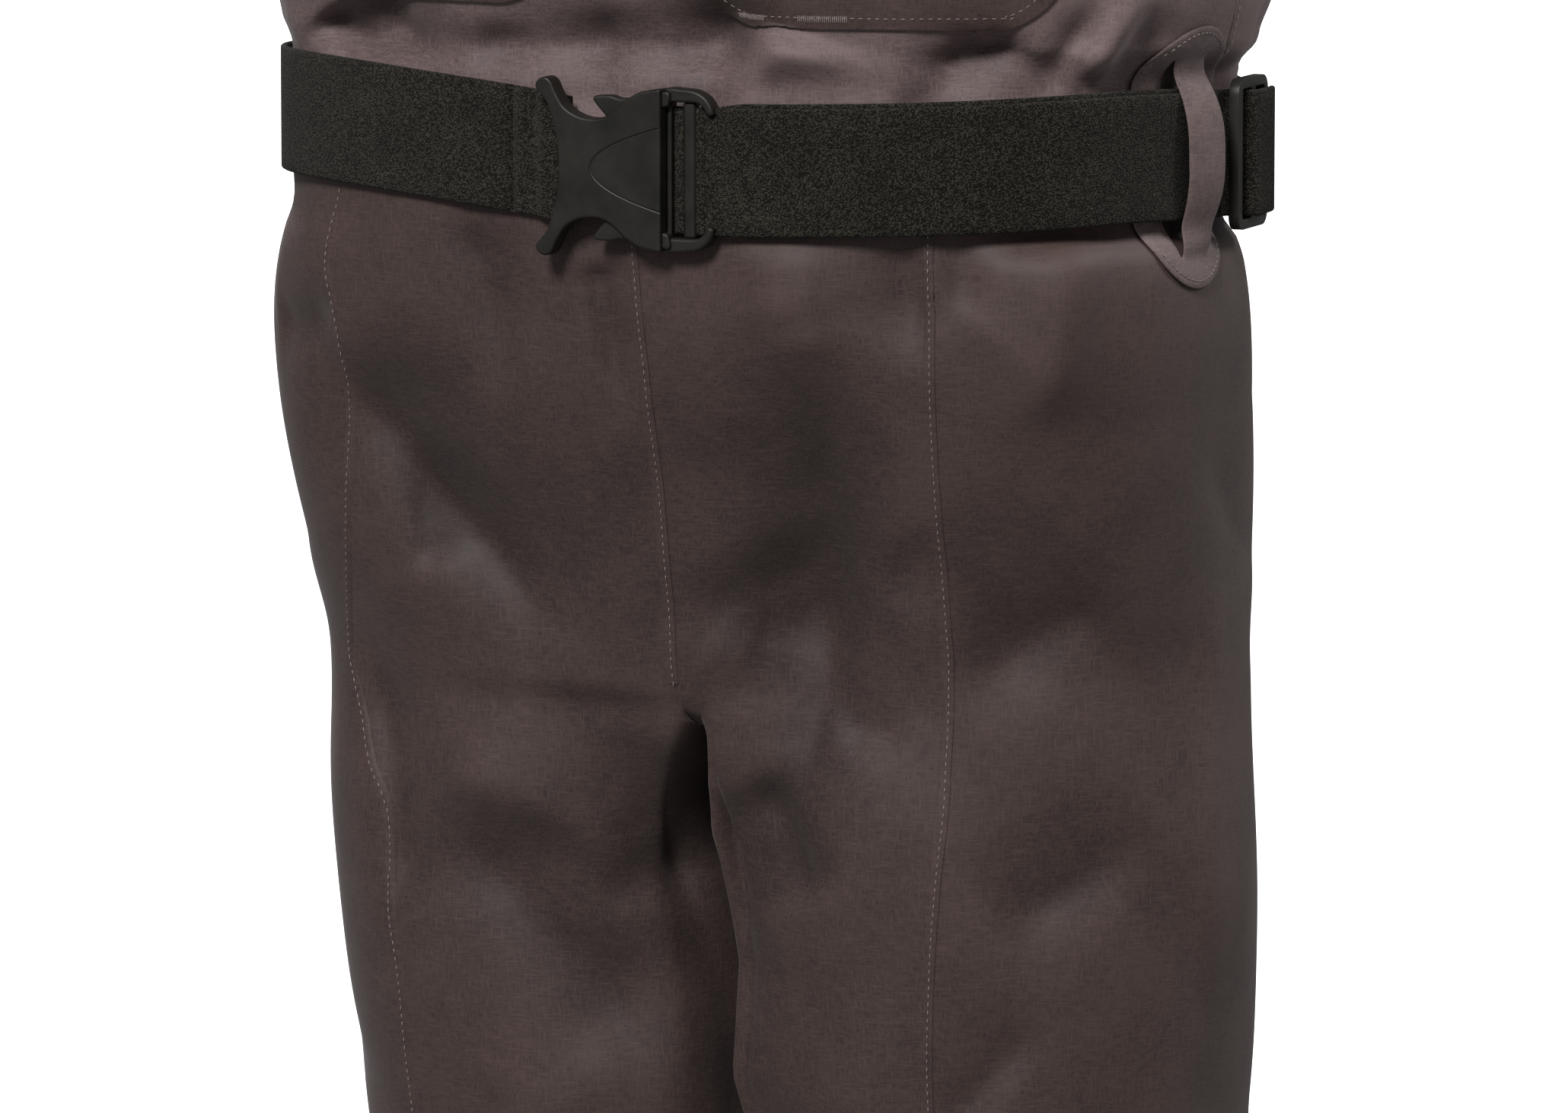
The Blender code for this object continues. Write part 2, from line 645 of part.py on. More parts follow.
def build_slider(material, parent):
    """The strap slider: a flat frame with two slots, whose middle bar the returning strap passes over."""
    line = belt_line(SLIDER_ANGLE)
    place = waist_frame(SLIDER_ANGLE, BELT_HEIGHT)
    place.translation.z += line["rise"]
    low = line["stand_off"] + 2 * LAYER_STEP
    half = SLIDER_LENGTH / 2
    box = rounded_box(-half, half, SLIDER_HEIGHT / 2, SLIDER_CORNER)
    slider = plate("belt_slider", box, low, low + SLIDER_THICKNESS, place, material, parent)
    for first, last in ((-half + SLIDER_BAR, -SLIDER_BAR / 2), (SLIDER_BAR / 2, half - SLIDER_BAR)):
        slot = rounded_box(first, last, SLIDER_HEIGHT / 2 - SLIDER_BAR + 0.001, 0.001)
        combine(slider, outline_solid("slot", slot, low - 0.01, low + SLIDER_THICKNESS + 0.01), "DIFFERENCE")


def build_belt_loop(material, parent):
    """The belt loop: an oval patch whose middle strip, between two slits, stands over the belt."""
    line = belt_line(LOOP_ANGLE)
    middle_height = BELT_HEIGHT + line["rise"]
    over_belt = line["stand_off"] + 2 * LAYER_STEP + OVERLAY_GAP
    half_turn = LOOP_HALF_WIDTH / torso_point(LOOP_ANGLE, BELT_HEIGHT).xy.length
    strap_share = LOOP_STRAP_HALF_WIDTH / LOOP_HALF_WIDTH
    slit_share = (LOOP_STRAP_HALF_WIDTH + LOOP_SLIT_WIDTH) / LOOP_HALF_WIDTH
    columns = (-1.0, -slit_share, -strap_share, 0.0, strap_share, slit_share, 1.0)
    upper = spread(LOOP_CLEAR_HALF, LOOP_SLIT_HALF, 3)
    upper += [LOOP_HALF_HEIGHT * share for share in (0.88, 0.94, 0.98, 1.0)]
    ups = [-up for up in reversed(upper)] + [-LOOP_CLEAR_HALF / 2, 0.0, LOOP_CLEAR_HALF / 2] + upper
    points, rows = [], []
    for up in ups:
        past = max(0.0, abs(up) - (LOOP_HALF_HEIGHT - LOOP_HALF_WIDTH)) / LOOP_HALF_WIDTH
        narrowing = max(0.30, math.sqrt(max(0.0, 1 - past * past)))
        rise = smooth_step((LOOP_SLIT_HALF - abs(up)) / (LOOP_SLIT_HALF - LOOP_CLEAR_HALF))
        bow = LOOP_BOW * max(0.0, 1 - (up / LOOP_CLEAR_HALF) ** 2)
        row = []
        for share in columns:
            on_strap = abs(share) <= strap_share + 1e-6
            spare = share if on_strap else share * narrowing
            spare = math.copysign(max(abs(spare), slit_share), share) if not on_strap else spare
            out = OVERLAY_GAP + (rise * (over_belt - OVERLAY_GAP) + bow if on_strap else 0.0)
            row.append(len(points))
            points.append(cloth_point(LOOP_ANGLE + spare * half_turn, middle_height + up, out))
        rows.append(row)
    faces = []
    for low_up, high_up, low, high in zip(ups, ups[1:], rows, rows[1:]):
        in_slit = abs(low_up + high_up) / 2 < LOOP_SLIT_HALF
        strips = join_rings(low, high, closed=False)
        faces += [face for i, face in enumerate(strips) if not (in_slit and i in (1, 4))]
    loop = add_piece("belt_loop", mesh_from("belt_loop", points, faces), material, parent)
    return give_wall(loop, PATCH_WALL, outwards=True)


def build_pocket(name, side, bottom, material, parent):
    """A patch pocket: a thin layer over the bib's own faces, with round lower corners."""
    points, rows = [], []
    for height in BIB_ROWS:
        rows.append(list(range(len(points), len(points) + HALF_WAIST_STEPS // 2)))
        points += [torso_point(side * angle, height, OVERLAY_GAP) for angle in ring_angles()[: len(rows[-1])]]
    faces = [face for low, high in zip(rows, rows[1:]) for face in join_rings(low, high, closed=False)]
    if side < 0:
        faces = [tuple(reversed(face)) for face in faces]
    pocket = add_piece(name, mesh_from(name, points, faces), material, parent)
    give_wall(pocket, PATCH_WALL, outwards=True)
    outline = [(side * POCKET_INNER_EDGE, POCKET_TOP), (side * POCKET_OUTER_EDGE, POCKET_TOP)]
    for edge, turn in ((POCKET_OUTER_EDGE - POCKET_CORNER, 0), (POCKET_INNER_EDGE + POCKET_CORNER, 90)):
        for step in range(POCKET_CORNER_STEPS + 1):
            a = math.radians(turn + 90 * step / POCKET_CORNER_STEPS)
            up = bottom + POCKET_CORNER - POCKET_CORNER * math.sin(a)
            outline.append((side * (edge + POCKET_CORNER * math.cos(a)), up))
    upright = Matrix.Rotation(math.pi / 2, 4, "X")
    combine(pocket, outline_solid("pocket_outline", outline, 0.02, 0.25), "INTERSECT", upright)


for old in list(bpy.data.objects):
    bpy.data.objects.remove(old, do_unlink=True)
parts_collection = bpy.data.collections.new("stockingfoot_waders")
cutters_collection = bpy.data.collections.new("cutters")
for collection in (parts_collection, cutters_collection):
    bpy.context.scene.collection.children.link(collection)

waders = bpy.data.objects.new("waders", None)
parts_collection.objects.link(waders)

bib_cloth = cut_material("bib_cloth", (0.115, 0.088, 0.084), 0.75)
leg_cloth = cut_material("leg_cloth", (0.066, 0.050, 0.047), 0.75)
neoprene = cut_material("neoprene", (0.020, 0.020, 0.021), 0.85)
webbing = cut_material("webbing", (0.018, 0.017, 0.014), 0.95)
buckle_plastic = cut_material("buckle_plastic", (0.022, 0.021, 0.019), 0.45)

build_bib(bib_cloth, waders)
sides = (("left", 1, POCKET_BOTTOM_LEFT), ("right", -1, POCKET_BOTTOM_RIGHT))
for side_name, side_sign, pocket_bottom in sides:
    build_leg("leg_" + side_name, side_sign, leg_cloth, waders)
    build_sock("sock_" + side_name, side_sign, neoprene, waders)
    build_sole("sole_" + side_name, side_sign, neoprene, waders)
    build_pocket("pocket_" + side_name, side_sign, pocket_bottom, leg_cloth, waders)
build_belt(webbing, waders)
build_buckle(buckle_plastic, waders)
build_slider(buckle_plastic, waders)
build_belt_loop(bib_cloth, waders)
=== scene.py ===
import math

import bpy
import numpy as np
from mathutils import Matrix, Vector
from mathutils.bvhtree import BVHTree


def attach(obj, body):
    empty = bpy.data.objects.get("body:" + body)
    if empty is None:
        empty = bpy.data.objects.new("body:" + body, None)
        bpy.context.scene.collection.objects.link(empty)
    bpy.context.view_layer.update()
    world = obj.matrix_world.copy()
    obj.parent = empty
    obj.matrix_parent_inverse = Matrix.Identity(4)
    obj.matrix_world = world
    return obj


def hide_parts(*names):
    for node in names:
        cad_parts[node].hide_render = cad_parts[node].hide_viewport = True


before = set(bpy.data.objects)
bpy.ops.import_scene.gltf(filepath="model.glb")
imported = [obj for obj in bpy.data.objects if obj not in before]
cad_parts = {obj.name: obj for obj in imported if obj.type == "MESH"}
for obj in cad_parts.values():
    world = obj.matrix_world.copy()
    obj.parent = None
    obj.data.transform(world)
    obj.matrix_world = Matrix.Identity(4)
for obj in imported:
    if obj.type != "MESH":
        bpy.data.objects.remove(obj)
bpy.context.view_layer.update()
print("frame loaded:", ", ".join(sorted(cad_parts)))


# the photograph's view, and the plain front, back and side views that other folds are drawn in
def viewAxes(azimuth, elevation, target=(0.0, 0.0, 0.0), distance=None):
    a, e = math.radians(azimuth), math.radians(elevation)
    back = np.array((math.sin(a) * math.cos(e), -math.cos(a) * math.cos(e), math.sin(e)))
    right = np.array((math.cos(a), math.sin(a), 0.0))
    return {"target": np.array(target), "distance": distance, "back": back, "right": right,
            "up": np.cross(back, right)}


photoView = viewAxes(24.0, 7.5, (0.0107, -0.0083, 0.831), 4.15)
frontView = viewAxes(0.0, 0.0)
backView = viewAxes(180.0, 0.0)
leftView = viewAxes(90.0, 0.0)
rightView = viewAxes(-90.0, 0.0)


def pick(*pieces):
    bpy.ops.object.select_all(action="DESELECT")
    for piece in pieces:
        piece.select_set(True)
    bpy.context.view_layer.objects.active = pieces[-1]
    return pieces[-1]


def smooth(t):
    t = np.clip(t, 0.0, 1.0)
    return t * t * (3 - 2 * t)


def addModifier(piece, kind, **settings):
    pick(piece)
    modifier = piece.modifiers.new(kind.title(), kind)
    for key, value in settings.items():
        setattr(modifier, key, value)
    bpy.ops.object.modifier_apply(modifier=modifier.name)


def newObject(name, data):
    thing = bpy.data.objects.new(name, data)
    bpy.context.scene.collection.objects.link(thing)
    return thing


def meshPiece(name, points, faces):
    mesh = bpy.data.meshes.new(name)
    mesh.from_pydata([tuple(p) for p in points], [], faces)
    return newObject(name, mesh)


# runs mesh operators in turn on the whole of a piece
def editMesh(piece, *steps):
    pick(piece)
    bpy.ops.object.mode_set(mode="EDIT")
    bpy.ops.mesh.select_all(action="SELECT")
    for operator, settings in steps:
        operator(**settings)
    bpy.ops.object.mode_set(mode="OBJECT")


normalsOut = (bpy.ops.mesh.normals_make_consistent, {"inside": False})


def shadeSmooth(piece, degrees):
    pick(piece)
    bpy.ops.object.shade_smooth_by_angle(angle=math.radians(degrees))


# a new piece from copies of CAD nodes, merged back into clean quads
def copyNodes(name, *nodes, keep=None, merge=0.0004):
    parts = []
    for node in nodes:
        part = newObject(name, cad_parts[node].data.copy())
        if keep:
            keepFaces(part, keep)
        parts.append(part)
    piece = pick(*parts)
    if len(parts) > 1:
        bpy.ops.object.join()
    piece.name = name
    piece.data.materials.clear()
    bpy.ops.mesh.customdata_custom_splitnormals_clear()
    quads = {"face_threshold": math.radians(30), "shape_threshold": math.radians(60)}
    editMesh(piece, (bpy.ops.mesh.remove_doubles, {"threshold": merge}),
             (bpy.ops.mesh.tris_convert_to_quads, quads))
    return piece


def keepFaces(piece, wanted):
    pick(piece)
    bpy.ops.object.mode_set(mode="EDIT")
    bpy.ops.mesh.select_all(action="DESELECT")
    bpy.ops.object.mode_set(mode="OBJECT")
    for face in piece.data.polygons:
        face.select = not wanted(face.center, face.normal)
    bpy.ops.object.mode_set(mode="EDIT")
    bpy.ops.mesh.select_mode(type="FACE")
    bpy.ops.mesh.delete(type="FACE")
    bpy.ops.object.mode_set(mode="OBJECT")


def readPoints(piece):
    mesh = piece.data
    points = np.empty(len(mesh.vertices) * 3)
    normals = np.empty(len(mesh.vertices) * 3)
    mesh.vertices.foreach_get("co", points)
    mesh.vertex_normals.foreach_get("vector", normals)
    return points.reshape(-1, 3), normals.reshape(-1, 3)


def writePoints(piece, points):
    piece.data.vertices.foreach_set("co", np.ascontiguousarray(points).ravel())
    piece.data.update()


def surfaceTree(*pieces):
    points, faces = [], []
    for piece in pieces:
        start = len(points)
        points += [v.co.copy() for v in piece.data.vertices]
        faces += [[start + i for i in face.vertices] for face in piece.data.polygons]
    return BVHTree.FromPolygons(points, faces)


def finishPiece(piece, material, slot, *nodes):
    piece.data.materials.clear()
    piece.data.materials.append(material)
    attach(piece, "root")
    if nodes:
        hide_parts(*nodes)
    return piece


# a line, rounded through its points and cut into even steps
def drawLine(path, step):
    path = np.array(path, float)
    ends = np.vstack((2 * path[0] - path[1], path, 2 * path[-1] - path[-2]))
    fine = []
    for a, b, c, d in zip(ends, ends[1:], ends[2:], ends[3:]):
        for t in np.linspace(0, 1, 12, endpoint=False):
            fine.append(0.5 * (2 * b + (c - a) * t + (2 * a - 5 * b + 4 * c - d) * t**2
                               + (3 * b - a - 3 * c + d) * t**3))
    fine = np.array(fine + [path[-1]])
    length = np.concatenate(([0.0], np.cumsum(np.linalg.norm(np.diff(fine, axis=0), axis=1))))
    count = max(2, int(round(length[-1] / step)) + 1)
    wanted = np.linspace(0, length[-1], count)
    return np.column_stack([np.interp(wanted, length, fine[:, i]) for i in range(fine.shape[1])])


# folds are drawn as lines in millimetres across and up a view: a negative depth is a trough
# left and right are how far each side of the line reaches, the fades are shares of its length
foldLook = {"step": 6.0, "reach": 3.5, "ridge": 3.2, "ridgeShare": 0.35, "slope": 1.2, "facing": 0.35,
            "crotch": 0.80, "crotchBlend": 0.03, "legBlend": 0.024, "lean": (1, 1, 0.2)}
crotchEnd = {"at": (0.0, -0.045, 0.775), "reach": (0.036, 0.130, 0.034)}  # a tight bend that stays as it is


def pressFolds(piece, folds, view, scale=1.0, wide=1.0):
    points, normals = readPoints(piece)
    offset = points - view["target"]
    zoom = view["distance"] / (view["distance"] - offset @ view["back"]) if view["distance"] else 1.0
    flat = 1000 * np.column_stack((offset @ view["right"] * zoom, offset @ view["up"] * zoom))
    facing = smooth(normals @ view["back"] / foldLook["facing"])
    move = np.zeros(len(points))
    for name, leg, path, left, right, depth, fadeIn, fadeOut in folds:
        line = drawLine(path, foldLook["step"])
        left, right = wide * left, wide * right
        reach = foldLook["reach"] * max(left, right)
        near = np.where((facing > 0) & np.all(flat > line.min(0) - reach, 1)
                        & np.all(flat < line.max(0) + reach, 1))[0]
        here = flat[near]
        best = np.full(len(near), np.inf)
        side, share = np.zeros(len(near)), np.zeros(len(near))
        for i, (a, b) in enumerate(zip(line, line[1:])):
            along = b - a
            t = np.clip((here - a) @ along / (along @ along), 0, 1)
            off = here - a - t[:, None] * along
            gap = np.hypot(off[:, 0], off[:, 1])
            closer = gap < best
            best[closer] = gap[closer]
            side[closer] = (along[0] * off[:, 1] - along[1] * off[:, 0])[closer]
            share[closer] = (i + t[closer]) / (len(line) - 1)
        width = np.where(side > 0, right, left)
        ridge = np.minimum(foldLook["ridge"], foldLook["ridgeShare"] * width)
        soft = np.sqrt(best**2 + ridge**2) - ridge
        press = scale * depth * np.exp(-((soft / width) ** foldLook["slope"]))
        if fadeIn:
            press *= smooth(share / fadeIn)
        if fadeOut:
            press *= smooth((1 - share) / fadeOut)
        if leg != "both":
            inside = points[near, 0] if leg == "left" else -points[near, 0]
            own = smooth(0.5 + inside / foldLook["legBlend"])
            above = smooth((points[near, 2] - foldLook["crotch"]) / foldLook["crotchBlend"])
            press *= own + (1 - own) * above
        move[near] += press
    far = np.linalg.norm((points - crotchEnd["at"]) / crotchEnd["reach"], axis=1)
    move *= 1 - np.exp(-(far**2))
    way = normals + view["back"] * foldLook["lean"]  # leaning to the view keeps tight bends from crossing
    moveOut(piece, points, way / np.linalg.norm(way, axis=1)[:, None], move * facing)


# moves the cloth out along its normals or another way, and holds it behind the belt
belt = {"height": 1.000, "above": 0.005, "half": 0.027, "clear": 0.016, "give": 0.35}


def beltGap(points):
    return np.abs(points[:, 2] - belt["height"] - belt["above"]) - belt["half"]


def moveOut(piece, points, normals, move, held=True):
    if held:
        free = smooth(beltGap(points) / belt["clear"])
        move = np.where(move > 0, move * free, move * (belt["give"] + (1 - belt["give"]) * free))
    # the fold attribute sums every push; the nylon's colour reads it as painted shade in troughs and painted
    # light on crests
    shade = piece.data.attributes.get("fold") or piece.data.attributes.new("fold", "FLOAT", "POINT")
    before = np.zeros(len(points), np.float32)
    shade.data.foreach_get("value", before)
    shade.data.foreach_set("value", (before + move).astype(np.float32))
    writePoints(piece, points + normals * (move / 1000)[:, None])


# cloth drawn in by the belt: uneven gathers all round, left weaker where the folds are drawn
gathers = {"counts": (17, 26, 41), "turn": 1.7, "uneven": 0.9, "weaker": 0.6, "level": 0.45, "swing": 0.4,
           "edge": 0.012, "curve": 1.4, "drawn": 0.75, "facing": 0.4, "loopAt": 84, "loopHalf": 0.15,
           "loopBlend": 0.12}


def gatherWaist(piece, depth, spread, seed):
    points, normals = readPoints(piece)
    angle = np.arctan2(points[:, 0], -points[:, 1])
    wave = np.zeros(len(points))
    for i, count in enumerate(gathers["counts"]):
        turn = seed + gathers["turn"] * i
        bent = gathers["uneven"] * np.sin(3 * angle + turn)
        wave += np.cos(count * angle + turn + bent) / (1 + gathers["weaker"] * i)
    away = beltGap(points)
    share = np.exp(-((np.maximum(away, 0) / spread) ** gathers["curve"]))
    share *= smooth((away + gathers["edge"]) / gathers["edge"])
    share *= 1 - gathers["drawn"] * smooth(normals @ photoView["back"] / gathers["facing"])
    loopGap = np.abs(angle - math.radians(gathers["loopAt"])) - gathers["loopHalf"]
    share *= smooth(loopGap / gathers["loopBlend"])
    moveOut(piece, points, normals, -depth * (gathers["level"] + gathers["swing"] * wave) * share)


# slow swells of a worn garment, a hand's length or more
swells = {"count": 5, "turn": 2.4, "sway": 1.3, "rise": 0.7, "longer": 0.35, "level": 2.2}


def softenForm(piece, depth, length, seed):
    points, normals = readPoints(piece)
    wave = np.zeros(len(points))
    for i in range(swells["count"]):
        turn = seed + swells["turn"] * i
        way = np.array((math.cos(turn), math.sin(swells["sway"] * turn),
                        swells["rise"] * math.cos(swells["rise"] * turn)))
        wave += np.sin(points @ way * (2 * math.pi / (length * (1 + swells["longer"] * i))) + turn)
    moveOut(piece, points, normals, depth * wave / swells["level"])


# the cloth's fullness at the wearer's right and left side, in millimetres at heights above the floor
sideTurn = {"from": 0.25, "over": 0.6}


def easeSides(piece, ease):
    points, normals = readPoints(piece)
    turned = smooth((np.abs(normals[:, 0]) - sideTurn["from"]) / sideTurn["over"])
    z = 1000 * points[:, 2]
    push = np.where(points[:, 0] > 0, np.interp(z, ease["height"], ease["left"]),
                    np.interp(z, ease["height"], ease["right"]))
    moveOut(piece, points, normals, push * turned)


# the cloth puffs out behind the belt where the slider holds the belt off, at the wearer's left
def puffSide(piece, puff):
    points, normals = readPoints(piece)
    turn = np.degrees(np.arctan2(points[:, 0], -points[:, 1]))
    (first, last), (fadeIn, fadeOut) = puff["turns"], puff["fades"]
    share = smooth((turn - first) / fadeIn) * smooth((last - turn) / fadeOut)
    push = np.interp(1000 * points[:, 2], puff["height"], puff["push"])
    moveOut(piece, points, normals, push * share, held=False)


# the inside of the wearer's left thigh stands forward over the other leg
def swellInside(piece, swell):
    points, normals = readPoints(piece)
    facing = smooth(normals @ np.array(swell["way"]) / swell["soft"])
    push = np.interp(1000 * points[:, 2], swell["height"], swell["push"])
    move = push * facing * (points[:, 0] > 0)
    points[:, 0] -= move / 1000
    points[:, 1] -= swell["forward"] * move / 1000
    writePoints(piece, points)


# the front of the crotch hangs lower, as a slack fold
def dropCrotch(piece, slack):
    points, normals = readPoints(piece)
    far = np.linalg.norm((points - slack["at"]) / slack["reach"], axis=1)
    points[:, 2] -= slack["drop"] * smooth(1 - far)
    writePoints(piece, points)


# where a line drawn on a view meets the cloth, with its frame: place, along, across and out
castFrom = 0.6


def castLine(tree, path, view, step):
    stations = []
    for across, up in drawLine(path, step):
        start = view["right"] * across / 1000 + view["up"] * up / 1000 + view["back"] * castFrom
        place, normal, face, far = tree.ray_cast(Vector(start), Vector(-view["back"]))
        if place is not None:
            stations.append((place, normal))
    return frameLine(stations)


def frameLine(stations, closed=False):
    framed = []
    count = len(stations)
    for i, (place, normal) in enumerate(stations):
        before = stations[(i - 1) % count if closed else max(i - 1, 0)][0]
        after = stations[(i + 1) % count if closed else min(i + 1, count - 1)][0]
        along = (after - before).normalized()
        across = normal.cross(along).normalized()
        framed.append((place, along, across, across.cross(along) * -1))
    return framed


# a strip of cloth or tape laid on a surface: profile is across and lift in millimetres
def layStrip(name, tree, stations, profile, closed=False):
    points, faces = [], []
    width = len(profile)
    for place, along, across, out in stations:
        for side, lift in profile:
            foot, normal, face, far = tree.find_nearest(place + across * (side / 1000))
            points.append(foot + normal * (lift / 1000))
    count = len(stations)
    for i in range(count if closed else count - 1):
        a, b = i * width, ((i + 1) % count) * width
        for j in range(width - 1):
            faces.append((a + j, b + j, b + j + 1, a + j + 1))
    piece = meshPiece(name, points, faces)
    shadeSmooth(piece, 50)
    return piece


# one stitch, a slim bead of thread, is modelled once and its mesh copied along a seam
def modelStitch():
    bpy.ops.mesh.primitive_uv_sphere_add(segments=6, ring_count=4, radius=0.5)
    bead = bpy.context.object
    lying = {"value": math.pi / 2, "orient_axis": "Y", "center_override": (0, 0, 0)}
    editMesh(bead, (bpy.ops.transform.rotate, lying))
    points, normals = readPoints(bead)
    faces = [tuple(face.vertices) for face in bead.data.polygons]
    bpy.data.objects.remove(bead)
    return points, faces


stitchPoints, stitchFaces = modelStitch()


def sewStitches(name, stations, offset, length, width, lift=0.1, turn=0.0):
    points, faces = [], []
    for place, along, across, out in stations:
        a = np.array(along) * math.cos(turn) + np.array(across) * math.sin(turn)
        c = np.cross(np.array(out), a)
        middle = np.array(place + across * (offset / 1000) + out * (lift / 1000))
        grown = stitchPoints * (np.array((length, width, width)) / 1000)
        faces += [[len(points) + i for i in face] for face in stitchFaces]
        points += list(middle + grown[:, :1] * a + grown[:, 1:2] * c + grown[:, 2:] * np.array(out))
    piece = meshPiece(name, points, faces)
    piece.data.shade_smooth()
    return piece


# materials
def hexColour(text):
    shares = [int(text[i : i + 2], 16) / 255 for i in (1, 3, 5)]
    return (*(s / 12.92 if s <= 0.04045 else ((s + 0.055) / 1.055) ** 2.4 for s in shares), 1.0)


# stops are the places and colours of a ramp
def setNode(tree, node, settings, links=()):
    for key, value in settings.items():
        if key == "stops":
            for element, (place, colour) in zip(node.color_ramp.elements, value):
                element.position, element.color = place, hexColour(colour)
        elif isinstance(key, int) or key in node.inputs:
            node.inputs[key].default_value = value
        else:
            setattr(node, key, value)
    for socket, source in dict(links).items():
        tree.links.new(source, node.inputs[socket])
    return node


def addNode(tree, kind, settings, links=()):
    return setNode(tree, tree.nodes.new(kind), settings, links)


def startMaterial(name):
    material = bpy.data.materials.new(name)
    material.use_nodes = True
    tree = material.node_tree
    return material, tree, tree.nodes["Principled BSDF"]


# every material ends alike: a ramp colours the tone, the height is bumped and the shader gets its settings
def endMaterial(tree, shader, look, tone, height, links=()):
    colours = addNode(tree, "ShaderNodeValToRGB", {"stops": look["stops"]}, {"Fac": tone})
    strength, distance = look["bump"]
    bump = addNode(tree, "ShaderNodeBump", {"Strength": strength, "Distance": distance}, {"Height": height})
    ends = {"Base Color": colours.outputs[0], "Normal": bump.outputs[0], **dict(links)}
    setNode(tree, shader, look["shader"], ends)


# nylon woven plain and laminated to a membrane: matt, close grained, a faint broad sheen; its colour carries
# painted shade in fold troughs and painted light on fold crests
# threads of 0.4 mm are too fine for the render, so the grain is drawn at about 0.8 mm
nylonLook = {"threadMm": 0.8, "streak": 7, "cloudy": 0.45, "woven": 1.1, "rougher": 0.16,
             "bump": (0.35, 0.00025),
             # painted shade and light: the colour darkens with each trough's depth and lightens on crests,
             # by the fold attribute
             "worn": {"From Min": -16.0, "From Max": 8.0, "To Min": -0.22, "To Max": 0.10},
             "shader": {"IOR": 1.5, "Specular IOR Level": 0.35, "Sheen Weight": 0.06,
                        "Sheen Roughness": 0.4}}
bibLook = {**nylonLook, "cloudMm": 26, "gloss": 0.58, "stops": ((0.52, "#483b3a"), (0.98, "#6a5a59"))}
legLook = {**nylonLook, "cloudMm": 30, "gloss": 0.56, "stops": ((0.52, "#2a201e"), (0.98, "#463734"))}


def laminatedNylon(name, look):
    material, tree, shader = startMaterial(name)
    place = addNode(tree, "ShaderNodeTexCoord", {}).outputs["Object"]
    fine = 1000 / look["threadMm"]
    long = fine / look["streak"]
    streaks = []
    for run in ((fine, fine, long), (long, long, fine)):
        stretch = addNode(tree, "ShaderNodeMapping", {"Scale": run}, {"Vector": place})
        noise = addNode(tree, "ShaderNodeTexNoise", {"Scale": 1.0, "Detail": 2.0, "Roughness": 0.6},
                        {"Vector": stretch.outputs[0]})
        streaks.append(noise.outputs["Fac"])
    weave = addNode(tree, "ShaderNodeMath", {"operation": "MAXIMUM"}, {0: streaks[0], 1: streaks[1]})
    cloud = addNode(tree, "ShaderNodeTexNoise", {"Scale": 1000 / look["cloudMm"], "Detail": 3.0},
                    {"Vector": place})
    # painted shade and light: the fold attribute darkens the tone in troughs and lightens it on crests
    fold = addNode(tree, "ShaderNodeAttribute", {"attribute_name": "fold"})
    worn = addNode(tree, "ShaderNodeMapRange", look["worn"], {"Value": fold.outputs["Fac"]})
    tone = addNode(tree, "ShaderNodeMath", {"operation": "MULTIPLY_ADD", 1: look["cloudy"]},
                   {0: cloud.outputs["Fac"], 2: worn.outputs[0]})
    grain = addNode(tree, "ShaderNodeMath", {"operation": "MULTIPLY_ADD", 1: look["woven"]},
                    {0: weave.outputs[0], 2: tone.outputs[0]})
    rough = addNode(tree, "ShaderNodeMapRange",
                    {"To Min": look["gloss"], "To Max": look["gloss"] + look["rougher"]},
                    {"Value": weave.outputs[0]})
    endMaterial(tree, shader, look, grain.outputs[0], weave.outputs[0], {"Roughness": rough.outputs[0]})
    return material


# knitted stretch webbing, brushed on its face: a short dull nap in small tufts
webbingLook = {"tuftMm": 0.75, "napScale": 620.0, "patchScale": 60.0, "patchy": 0.2,
               "stops": ((0.0, "#11100d"), (0.5, "#413d34")), "bump": (1.0, 0.0007),
               "shader": {"Roughness": 0.95, "Specular IOR Level": 0.05, "Sheen Weight": 0.04,
                          "Sheen Roughness": 0.6}}


def brushedWebbing(look):
    material, tree, shader = startMaterial("brushedWebbing")
    place = addNode(tree, "ShaderNodeTexCoord", {}).outputs["Object"]
    tufts = addNode(tree, "ShaderNodeTexVoronoi", {"Scale": 1000 / look["tuftMm"], "Randomness": 1.0},
                    {"Vector": place})
    nap = addNode(tree, "ShaderNodeTexNoise", {"Scale": look["napScale"], "Detail": 4.0, "Roughness": 0.7},
                  {"Vector": place})
    patches = addNode(tree, "ShaderNodeTexNoise", {"Scale": look["patchScale"], "Detail": 2.0},
                      {"Vector": place})
    height = addNode(tree, "ShaderNodeMath", {"operation": "SUBTRACT"},
                     {0: nap.outputs["Fac"], 1: tufts.outputs["Distance"]})
    tone = addNode(tree, "ShaderNodeMath", {"operation": "MULTIPLY_ADD", 1: look["patchy"]},
                   {0: patches.outputs["Fac"], 2: height.outputs[0]})
    endMaterial(tree, shader, look, tone.outputs[0], height.outputs[0])
    return material


# acetal, moulded in a spark-eroded tool: satin, a fine even grain, rubbed smoother here and there
buckleLook = {"grainMm": 0.5, "rubbedScale": 90.0, "gloss": {"To Min": 0.40, "To Max": 0.58},
              "stops": ((0.3, "#12110e"), (0.75, "#1f1d19")), "bump": (0.25, 0.0001),
              "shader": {"IOR": 1.48, "Specular IOR Level": 0.32}}


